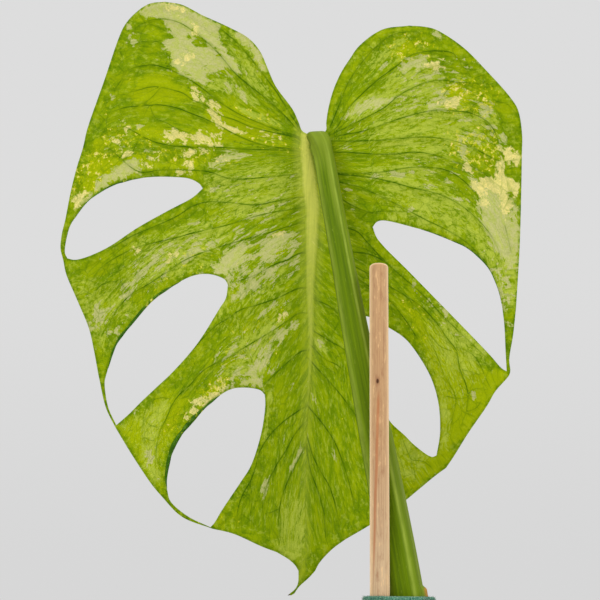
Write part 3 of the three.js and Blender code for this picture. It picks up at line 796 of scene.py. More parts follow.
class LeafSurface(Surface):
    """The graph of one side of the leaf, with the values and noises that its marbling shares."""

    def __init__(self, name: str, **constants: object) -> None:
        """Make the material and read what the mesh carries.

        Args:
            name: The material's name.
            **constants: Principled inputs by name, with an underscore for each space.
        """
        super().__init__(name, **constants)
        self.flow = self.attribute("flow")
        self.off_rib, self.edge, self.dried = self.split(self.attribute("place"))
        self.where = self.coordinates()
        self.grain = self.noise(self.where, 1500.0, 3.0, 0.6)
        self.inland = self.rise(self.edge, 3.0, 11.0)

    def along_flow(self, even: float, along: float, across: float) -> Value:
        """Mix noise stretched along the veins, inside the blade, with even noise near its edges.

        Args:
            even: Scale of the even noise, per metre.
            along: Scale of the stretched noise along the veins, per millimetre.
            across: Its scale across the veins.

        Returns:
            The noise.
        """
        outer = self.noise(self.where, even, 6.0, 0.68)
        inner = self.noise(self.flow, (along, across, 5.0), 6.0, 0.68)
        return self.math("MULTIPLY_ADD", inner - outer, self.inland, outer)

    def jagged(self, area: Value, cell: Value, crumb: Value, wave: Value) -> Value:
        """Shift a patch's distance in from its edge by steps of cells and by waves.

        Args:
            area: Distance in from the patch's edge, in millimetres.
            cell: Random value of each large cell.
            crumb: Random value of each small cell.
            wave: Noise.

        Returns:
            The shifted distance.
        """
        for noise, middle, amount in ((cell, 0.5, 2.4), (crumb, 0.5, 0.7), (wave, 0.48, 8.0)):
            area = self.swing(area, noise, middle, amount)
        return area

    def drift(self, noise: Value, density: Value, soft: float, top: float) -> Value:
        """Cut noise, roughened by the grain, at a level that falls as the density rises.

        Args:
            noise: Noise along the veins.
            density: Share of the ground to cover, from 0 to 1.
            soft: Width of the edge.
            top: Greatest cover.

        Returns:
            The mask.
        """
        level = self.math("MULTIPLY_ADD", density, -0.22, 0.7)
        return self.rise(self.swing(noise, self.grain, 0.5, 0.07), level, level + soft) * top

    def net(self, pale: Value) -> Value:
        """Draw the coarse and the fine net of small veins.

        Args:
            pale: Distance inside a mint patch, where the net is fainter.

        Returns:
            The mask.
        """
        coarse = self.cells(self.flow, (0.16, 0.2, 1.0), "Distance", "DISTANCE_TO_EDGE")
        fine = self.cells(self.flow, (0.5, 0.62, 1.0), "Distance", "DISTANCE_TO_EDGE")
        net = self.line(coarse, 0.012, 0.05) * self.rise(self.edge, 6.0, 24.0, 0.42, 0.14)
        net = net * self.rise(self.edge, 0.5, 3.5, 0.2, 1.0)
        faint = self.rise(pale, -0.5, 1.0, 1.0, 0.3)
        return self.math("MAXIMUM", net, self.line(fine, 0.01, 0.13) * 0.15) * faint

    def veins(self) -> tuple[Value, Value]:
        """Draw the veins that the mesh carries, and a painted shade beside them.

        Returns:
            The masks of the veins and of the painted shade.
        """
        off, width, strength = self.split(self.attribute("vein"))
        faint = self.rise(self.noise(self.flow, (0.09, 0.2, 1.0)), 0.36, 0.6, 0.45, 1.0)
        vein_shade = self.line(off, width, 1.8) * strength * 0.3
        return self.line(off, width, 0.3) * strength * faint, vein_shade

    def pale_rib(self, mottle: Value, strength: float) -> Value:
        """Draw the pale midrib: a core with a frayed edge, a glow beside it, fainter low down.

        Args:
            mottle: Noise that frays the edge.
            strength: Greatest cover.

        Returns:
            The mask.
        """
        frayed = self.swing(self.off_rib, mottle, 0.5, 3.0)
        core = self.rise(frayed, -2.2, 0.6, 1.0, 0.0)
        glow = self.rise(frayed, 0.0, 4.0, 0.24, 0.0)
        _, _, height = self.split(self.where)
        streaks = self.noise(self.flow, (1.8, 0.06, 1.0))
        pale = self.math("MAXIMUM", core, glow) * strength * self.rise(height, 0.3, 0.372, 0.5, 1.0)
        return pale * self.rise(streaks, 0.4, 0.56, 0.8, 1.0)

    def let_light_through(self, colour: Value, share: float) -> None:
        """Mix in light that passes through the thin blade.

        Args:
            colour: Colour of the light.
            share: Share of the light that passes.
        """
        through = self.read("ShaderNodeBsdfTranslucent", {"Color": colour})
        mix = self.read("ShaderNodeMixShader",
                        {0: share, 1: Value(self, self.shader.outputs[0]), 2: through})
        self.put(self.tree.nodes["Material Output"].inputs["Surface"], mix)


@dataclass(frozen=True)
class LeafFinish:
    """Variegated leaf: green with lime, haze, mint, yellow and cream, dark veins and a pale midrib."""

    name: str
    green: Colour
    deep: Colour
    lime: Colour
    haze: Colour
    mint: Colour
    yellow: Colour
    cream: Colour
    vein: Colour
    rib: Colour
    rib_strength: float
    roughness: float
    shine: float
    light_through: float
    dried: Colour = srgb(70, 44, 30)

    def make(self) -> bpy.types.Material:
        """Build the leaf's material from the values that its mesh carries.

        Returns:
            The material.
        """
        graph = LeafSurface(self.name, Roughness=self.roughness, Specular_IOR_Level=self.shine)
        rise, edge = graph.rise, graph.edge
        mint, cream, lime = graph.split(graph.attribute("patches"))
        haze, fleck, yellow = graph.split(graph.attribute("drifts"))
        cells = graph.split(graph.blend(graph.inland, graph.cells(graph.where, 420.0, "Color"),
                                        graph.cells(graph.flow, (0.34, 0.5, 1.0), "Color")))
        crumbs = graph.split(graph.cells(graph.where, 1300.0, "Color"))
        bands = graph.along_flow(190.0, 0.09, 0.26)
        mottle = graph.along_flow(420.0, 0.26, 0.52)
        veil = graph.along_flow(170.0, 0.1, 0.28)
        spots = graph.along_flow(260.0, 0.15, 0.42)
        warm = graph.noise(graph.flow, (0.06, 0.13, 1.0), 4.0, 0.6)
        dust = graph.noise(graph.flow, (0.42, 0.8, 1.0), 4.0, 0.65)
        dots = graph.noise(graph.where, 430.0, 5.0, 0.7)

        lime_edge = graph.jagged(lime, cells[2], crumbs[2], warm)
        mint_edge = graph.jagged(mint, cells[0], crumbs[0], spots)
        cream_edge = graph.jagged(cream, cells[1], crumbs[1], dots)
        warmth = graph.math("MAXIMUM", rise(lime_edge, -1.5, 2.0, 0.0, 0.8),
                            rise(warm, 0.5, 0.66, 0.0, 0.5))
        mint_inside = graph.layers(self.mint, (rise(mottle, 0.44, 0.54, 0.5, 0.0), self.haze),
                                   (rise(spots, 0.64, 0.67, 0.0, 0.6), self.cream))
        cream_inside = graph.blend(rise(mottle, 0.42, 0.62, 0.4, 0.0), self.cream, self.mint)
        hairs = graph.streaks(graph.flow, 26.0, 0.55, 0.56, 0.66)
        veins, shade = graph.veins()
        colour = graph.layers(
            self.green,
            (rise(bands, 0.42, 0.58, 0.8, 0.0), self.deep),
            (rise(mottle, 0.52, 0.6, 0.0, 0.42), self.haze),
            (rise(mottle, 0.47, 0.39, 0.0, 0.6), self.deep),
            (warmth, self.lime),
            (graph.drift(veil, haze, 0.1, 0.75), self.haze),
            (graph.drift(dust, haze, 0.04, 0.6), self.haze),
            (graph.drift(spots, fleck, 0.025, 0.85), self.mint),
            (graph.drift(dots, yellow, 0.1, 0.85), self.yellow),
            (graph.drift(dots - 0.085, yellow, 0.03, 0.8), self.cream),
            (rise(mint_edge, -0.35, 0.55, 0.0, 0.94), mint_inside),
            (rise(dots, 0.33, 0.29) * rise(mint, -1.0, 1.0) * 0.7, self.lime),
            (rise(cream_edge, -0.35, 0.5, 0.0, 0.95), cream_inside),
            (rise(graph.grain, 0.36, 0.6, 0.28, 0.0), self.green),
            (hairs * rise(edge, 4.0, 14.0, 0.05, 0.3), self.vein, "MULTIPLY"),
            # Painted shade beside the veins
            (shade * 0.7, self.vein, "MULTIPLY"),
            (graph.math("MAXIMUM", veins, graph.net(mint)), self.vein, "MULTIPLY"),
            (graph.pale_rib(mottle, self.rib_strength), self.rib),
            (rise(edge, 0.3, 1.6, 0.6, 0.0) * rise(mottle, 0.4, 0.56, 1.0, 0.4), self.vein,
             "MULTIPLY"),
            (rise(graph.dried, 1.2, 1.8), self.dried),
        )
        graph.let_light_through(colour, self.light_through)
        return graph.finished(colour, graph.grain * 0.5 + veins * 0.6, 0.25, 0.00025)


@dataclass(frozen=True)
class StalkFinish:
    """Petiole: dark green with lengthwise streaks, pale ridges partly painted as highlights, and a dry
    brown rim on the sheath.
    """

    green: Colour = srgb(94, 118, 0)
    dark: Colour = srgb(68, 92, 0)
    # Pale ridge lines, partly painted highlight, and faint pale hairs
    ridge: Colour = srgb(146, 162, 62)
    # The bend's duller tone, also used for the painted sheen, the painted light on the right face, and
    # specks
    bend: Colour = srgb(134, 148, 52)
    dry: Colour = srgb(168, 118, 56)

    def make(self) -> bpy.types.Material:
        """Build the petiole's material from its stalk and tint values.

        Returns:
            The material.
        """
        graph = Surface("Petiole skin", Roughness=0.5, Specular_IOR_Level=0.05)
        _, _, place = graph.lengthwise("stalk")
        # pale: ridge lines, partly painted highlight; dull: the bend's tone with the painted sheen and
        # painted light on the right face; state: dry rim
        pale, dull, state = graph.split(graph.attribute("tint"))
        bands = graph.streaks(place, 60.0, 1.7, 0.3, 0.7)
        hairs = graph.streaks(place, 16.0, 0.35, 0.5, 0.7)
        broken = graph.rise(graph.noise(place, (0.12, 0.6, 1.0), 4.0), 0.3, 0.6, 0.55, 0.95)
        specks = graph.noise(place, (0.3, 0.9, 1.0))
        colour = graph.layers(
            self.green,
            (bands, self.dark),
            (hairs * 0.09, self.ridge),
            # Painted sheen and painted light on the right face, with the bend's tone
            (dull * graph.rise(hairs, 0.0, 1.0, 0.55, 0.75), self.bend),
            # Pale ridge lines, partly painted highlight
            (pale * broken, self.ridge),
            (graph.rise(specks, 0.66, 0.7, 0.0, 0.25), self.bend),
            (graph.rise(state, 0.35, 0.95, 0.0, 0.9), self.dry),
        )
        return graph.finished(colour, bands + hairs * 0.5, 0.3, 0.0002)


@dataclass(frozen=True)
class StemFinish:
    """Stem and root: green bark that turns brown at the scars, the root and the soil."""

    green: Colour = srgb(98, 118, 44)
    olive: Colour = srgb(72, 88, 30)
    scar: Colour = srgb(150, 128, 88)
    root: Colour = srgb(112, 84, 54)

    def make(self) -> bpy.types.Material:
        """Build the stem's material from its scar and root values.

        Returns:
            The material.
        """
        graph = Surface("Stem bark", Roughness=0.5, Specular_IOR_Level=0.35)
        scar, root, _ = graph.split(graph.attribute("bark"))
        where = graph.coordinates()
        bands = graph.streaks(graph.scaled(where, (1000, 1000, 120)), 1.0, 1.0, 0.35, 0.65)
        warts = graph.rise(graph.cells(where, 700.0, "Distance"), 0.1, 0.28, 0.75, 0.0)
        brown = graph.blend(graph.noise(where, 500.0), self.root, self.scar)
        colour = graph.layers(
            self.green, (bands, self.olive), (warts * 0.6, self.scar), (scar, self.scar),
            (root, brown))
        return graph.finished(colour, graph.noise(where, 900.0, 5.0), 0.5, 0.0006)


@dataclass(frozen=True)
class DowelFinish:
    """Plain sanded dowel: straight grain, pores, one knot, one reddish line, and painted rim light on
    its sides.
    """

    pale: Colour = srgb(178, 142, 100)
    tan: Colour = srgb(158, 122, 86)
    late: Colour = srgb(134, 92, 62)
    # Pale wood in the blotches, and the painted rim light along the sides
    pale_wood_and_rim_light: Colour = srgb(228, 188, 136)
    paler_low: Colour = srgb(198, 178, 144)
    knot: Colour = srgb(70, 38, 16)
    red: Colour = srgb(158, 98, 58)
    knot_height: float = 261.0
    knot_side: float = -0.9
    knot_stretch: float = 0.55
    line_top: float = 255.0
    line_foot: float = 196.0
    line_lean: float = -0.033
    line_side: float = -0.55

    def red_line(self, graph: Graph, around: Value, up: Value, place: Value) -> Value:
        """Draw one line that leans and sways, between two heights.

        Args:
            graph: The material's graph.
            around: Place around the dowel.
            up: Height.
            place: Both, with the height first.

        Returns:
            The mask.
        """
        lean = graph.math("MULTIPLY_ADD", self.line_top - up, self.line_lean, self.line_side)
        off = around - graph.swing(lean, graph.noise(place, (0.05, 0.0, 0.0)), 0.5, 0.8)
        reach = graph.rise(up, self.line_foot - 20, self.line_foot)
        reach = reach * graph.rise(up, self.line_top - 4, self.line_top + 4, 1.0, 0.0)
        return graph.line(off, 0.22, 0.7) * reach

    def make(self) -> bpy.types.Material:
        """Build the dowel's material from its grain values: around and up, in millimetres.

        Returns:
            The material.
        """
        graph = Surface("Dowel wood", Roughness=0.75, Specular_IOR_Level=0.12, Sheen_Weight=0.5,
                        Sheen_Roughness=0.45)
        rise = graph.rise
        around, up, place = graph.lengthwise("grain")
        bands = graph.streaks(place, 130.0, 2.2, 0.3, 0.7)
        fibres = graph.streaks(place, 24.0, 0.4, 0.45, 0.68)
        pores = graph.streaks(place, 5.0, 0.12, 0.6, 0.68)
        blotches = graph.noise(place, (0.12, 0.5, 1.0), 5.0, 0.7)
        sideways = around - self.knot_side
        upward = (up - self.knot_height) * self.knot_stretch
        from_knot = graph.math("SQRT", sideways * sideways + upward * upward)
        # How far the surface turns from the eye, for the painted rim light
        turned = graph.read("ShaderNodeLayerWeight", {"Blend": 0.5}, "Facing")
        colour = graph.layers(
            self.pale,
            (bands, self.tan),
            # Paler towards the foot
            (rise(up, 250.0, 180.0) * 0.5, self.paler_low),
            (rise(blotches, 0.52, 0.66, 0.0, 0.5), self.late),
            (rise(blotches, 0.46, 0.34, 0.0, 0.45), self.pale_wood_and_rim_light),
            (fibres * 0.5, self.late),
            (pores * 0.35, self.late),
            (self.red_line(graph, around, up, place) * 0.75, self.red),
            (rise(from_knot, 0.5, 1.6, 0.5, 0.0), self.late),
            (rise(from_knot, 0.35, 0.75, 1.0, 0.0), self.knot),
            # Painted rim light: the sides lightened as they turn from the eye
            (rise(turned, 0.12, 0.75, 0.0, 0.85), self.pale_wood_and_rim_light),
        )
        return graph.finished(colour, fibres, 0.25, 0.0001)


@dataclass(frozen=True)
class StrapFinish:
    """Fuzzy teal strap: mottled loops with a dull sheen."""

    teal: Colour = srgb(78, 128, 102)
    light: Colour = srgb(146, 174, 146)
    dark: Colour = srgb(26, 84, 68)

    def make(self) -> bpy.types.Material:
        """Build the strap's material.

        Returns:
            The material.
        """
        graph = Surface("Strap fuzz", Roughness=0.95, Specular_IOR_Level=0.1, Sheen_Weight=0.35,
                        Sheen_Roughness=0.5)
        where = graph.coordinates()
        loops = graph.noise(where, 1700.0, 4.0, 0.65)
        flecks = graph.noise(where, 3200.0, 2.0)
        colour = graph.layers(
            self.dark, (graph.rise(loops, 0.4, 0.6), self.teal),
            (graph.rise(flecks, 0.56, 0.68), self.light))
        return graph.finished(colour, loops, 0.8, 0.0005)


@dataclass(frozen=True)
class PlasticFinish:
    """Matte anthracite pot: moulded grain, faint flow marks, and dust in soft clouds."""

    grey: Colour = srgb(50, 51, 54)
    dust: Colour = srgb(96, 90, 82)

    def make(self) -> bpy.types.Material:
        """Build the pot's material.

        Returns:
            The material.
        """
        graph = Surface("Nursery pot plastic", Specular_IOR_Level=0.45)
        where = graph.coordinates()
        cloud = graph.noise(where, 45.0, 4.0)
        colour = graph.blend(graph.rise(cloud, 0.48, 0.75) * 0.35, self.grey, self.dust)
        graph.put(graph.shader.inputs["Roughness"], graph.rise(cloud, 0.35, 0.7, 0.46, 0.66))
        return graph.finished(colour, graph.noise(where, 2400.0, 2.0), 0.35, 0.0001)


@dataclass(frozen=True)
class GritFinish:
    """Potting mix and the bits in it: two colours in clumps, rough."""

    name: str
    first: Colour
    second: Colour
    scale: float

    def make(self) -> bpy.types.Material:
        """Build the material of the mix or of one kind of bit.

        Returns:
            The material.
        """
        graph = Surface(self.name, Roughness=0.92, Specular_IOR_Level=0.15)
        where = graph.coordinates()
        clumps = graph.rise(graph.noise(where, self.scale, 5.0, 0.65), 0.38, 0.62)
        colour = graph.blend(clumps, self.first, self.second)
        return graph.finished(colour, graph.noise(where, self.scale * 2.6, 4.0), 0.9, 0.0008)


@dataclass
class Hole:
    """One hole of the blade: the vein to its inner corner, its two edges, and its closing thread."""

    at: float
    vein: Points
    upper: Points
    lower: Points
    thread_inner: Points
    thread_outer: Points
    lip: tuple[float, float, float] | None = None


@dataclass
class Half:
    """One half of the blade's outline, from the sinus down to the tip."""

    side: Side
    sinus: Points
    holes: list[Hole]
    guide_at: float
    guide: Points
    margins: list[Points]
    tip: Points
    veins: tuple[int, ...]


MIDRIB: Points = [(0, 0), (-0.9, -15.6), (-1.1, -38.4), (-1.4, -75.1), (-2.7, -120.8),
                  (-3.9, -166.6), (-4.1, -184.9), (-3.4, -198.2)]
MIDRIB_TIP: Points = [(-3.4, -198.2), (-4.3, -201.8), (-9.2, -208.3), (-12.1, -210.3)]

LEFT_HALF = Half(
    side=Side.LEFT,
    sinus=[(0, 0), (-5.3, 2.2), (-6.9, 6), (-9.6, 11.9), (-17.6, 22.9), (-21.1, 30.7),
           (-24.6, 38.6), (-29.9, 44.7), (-38.6, 49.6), (-50.9, 55.2), (-60.6, 60.1),
           (-68.2, 61.4)],
    holes=[
        Hole(
            at=0.049,
            vein=[(-11, -12.4), (-23.8, -15.6), (-37.5, -19.2), (-50.9, -24)],
            upper=[(-50.9, -24), (-52.6, -21.8), (-57, -19.6), (-64.9, -18.8), (-73.7, -18.8),
                   (-82.4, -19.8), (-91.2, -22.2), (-98.2, -25.8), (-104.3, -30.6),
                   (-110.8, -39.6)],
            lower=[(-50.9, -24), (-55.3, -28), (-66.6, -34.1), (-80.7, -42), (-94.7, -51.2),
                   (-105.2, -55.8), (-109.8, -56.7), (-112.9, -56)],
            thread_inner=[(-110.8, -39.6), (-112.2, -42.8), (-114, -53.3), (-112.9, -56)],
            thread_outer=[(-113.8, -38.2), (-115.5, -45.4), (-116, -51.6), (-114.7, -57.2)],
            lip=(0.42, 0.97, 0.42),
        ),
        Hole(
            at=0.225,
            vein=[(-11, -49.4), (-23.8, -56.3), (-32.5, -62.2), (-39.4, -68.2)],
            upper=[(-39.4, -68.2), (-40.7, -65.9), (-45.6, -63.7), (-50.9, -63.2), (-56.2, -64.3),
                   (-63.2, -67.8), (-73.7, -74.8), (-83.3, -85.6), (-90.8, -95.7), (-95.1, -109.4)],
            lower=[(-39.4, -68.2), (-40.4, -74.4), (-43, -78.6), (-53.5, -95.2), (-64.9, -108.3),
                   (-71.9, -114.9), (-78.9, -121.5), (-85, -127.6), (-90.5, -132.4)],
            thread_inner=[(-95.1, -109.4), (-95.8, -112.7), (-94.2, -124.1), (-90.5, -132.4)],
            thread_outer=[(-98.7, -109.2), (-95.2, -124.5), (-90.8, -133.6)],
            lip=(0.3, 0.96, 0.75),
        ),
        Hole(
            at=0.438,
            vein=[(-7.8, -95.7), (-14.2, -103.4), (-19.2, -110.8), (-22.5, -118.5)],
            upper=[(-22.5, -118.5), (-24.6, -116.4), (-32.5, -115.2), (-38.6, -116.2),
                   (-48.3, -122.8), (-58.8, -133.7), (-63.2, -139.9), (-65.8, -146),
                   (-67.7, -157.4), (-67.2, -162)],
            lower=[(-22.5, -118.5), (-22.3, -123.2), (-24.2, -136.3), (-29, -151.2),
                   (-33.4, -158.2), (-42.2, -171.4), (-45.6, -177.1), (-47.4, -179.1)],
            thread_inner=[(-67.2, -162), (-65.8, -167), (-57.9, -174), (-47.4, -179.1)],
            thread_outer=[(-71.4, -163.1), (-60.6, -174.2), (-46.5, -179.8)],
            lip=(0.3, 0.99, 1.0),
        ),
    ],
    guide_at=0.63,
    guide=[(-5.5, -130), (-11, -148.3), (-14.9, -165.2), (-16.2, -178), (-16.9, -190.6)],
    margins=[
        [(-68.2, 61.4), (-75.4, 60.5), (-82.4, 55.7), (-86.8, 50.4), (-89.4, 44.7), (-96, 25.4),
         (-103.9, 2.7), (-105.7, -5.2), (-108.7, -14.8), (-111.3, -25.3), (-113.8, -38.2)],
        [(-114.7, -57.2), (-113.5, -63), (-108.7, -74.4), (-103, -88.2), (-100.8, -97.8),
         (-98.7, -109.2)],
        [(-90.8, -133.6), (-83.3, -146), (-74.6, -159.1), (-71.4, -163.1)],
        [(-46.5, -179.8), (-36.9, -182.1), (-23.8, -188), (-16.9, -190.6)],
        [(-16.9, -190.6), (-11.1, -194.2), (-8.5, -196.7), (-7.1, -199.1)],
    ],
    tip=[(-7.1, -199.1), (-7.3, -204.6), (-8.5, -207.2), (-12.1, -210.3)],
    veins=(9, 5, 4, 3, 5),
)

RIGHT_HALF = Half(
    side=Side.RIGHT,
    sinus=[(0, 0), (5.4, 2.3), (5.6, 6.2), (6.7, 13.2), (8.9, 21.1), (12.4, 29), (16.3, 35.1),
           (20.7, 41.2), (31.3, 48.7), (43.5, 50.5)],
    holes=[
        Hole(
            at=0.145,
            vein=[(3.7, -32.5), (11, -36.2), (19.2, -38.9), (26.9, -41.7)],
            upper=[(26.9, -41.7), (28.6, -39.5), (31.3, -38.7), (46.1, -42), (54.9, -44.6),
                   (63.6, -48.1), (70.7, -51.6), (79.8, -60.3), (84.8, -71.7), (86.2, -78.7)],
            lower=[(26.9, -41.7), (28.6, -46.3), (32.1, -50.7), (42.6, -61.2), (56, -74.9),
                   (71.5, -90.8), (80.3, -100), (86.2, -106.6), (88.2, -107.7)],
            thread_inner=[(86.2, -78.7), (87.1, -86.5), (87.7, -98.7), (88.2, -107.7)],
            thread_outer=[(92.5, -78.7), (91.2, -90.8), (89.4, -102.5), (89.9, -106.9)],
            lip=(0.3, 0.98, 0.35),
        ),
        Hole(
            at=0.334,
            vein=[(2.7, -71.4), (13.7, -80.1), (19.2, -84.7)],
            upper=[(19.2, -84.7), (21.5, -82.8), (24.7, -82.7), (34.1, -87.7), (40.9, -92.1),
                   (45.3, -96.9), (53.1, -109.7), (56.8, -121.5), (57.7, -135.5), (56.1, -146.2)],
            lower=[(19.2, -84.7), (20.1, -91.1), (22.9, -100.7), (26.1, -110.8), (29.8, -120.8),
                   (34.6, -130.4), (41.7, -137.2), (46.1, -141.6), (54, -146.9), (56.1, -146.2)],
            thread_inner=[],
            thread_outer=[(60.4, -152)],
        ),
    ],
    guide_at=0.585,
    guide=[(0.9, -132.3), (6.4, -155.2), (10.1, -171.2), (12.4, -179.4), (14.5, -184.6)],
    margins=[
        [(43.5, 50.5), (50.5, 50), (55.7, 48.7), (68, 40.8), (79.4, 29.4), (89.9, 17.6),
         (93.4, 11.9), (95.3, 0.5), (95.2, -7.8), (94.7, -34.1), (94.1, -52.2), (92.5, -78.7)],
        [(89.9, -106.9), (89.5, -109.2), (82.9, -117.1), (79.4, -123.2), (70.7, -135.9),
         (63.6, -147.3), (60.4, -152)],
        [(60.4, -152), (56.6, -154.7), (47, -162.6), (41.7, -167), (33.4, -173), (25.1, -178.4),
         (14.5, -184.6)],
        [(14.5, -184.6), (8.5, -189), (2.6, -195.3), (0.5, -199.1)],
    ],
    tip=[(0.5, -199.1), (-2, -201.9), (-7, -206.5), (-9.6, -210), (-12.1, -210.3)],
    veins=(11, 5, 5, 6),
)


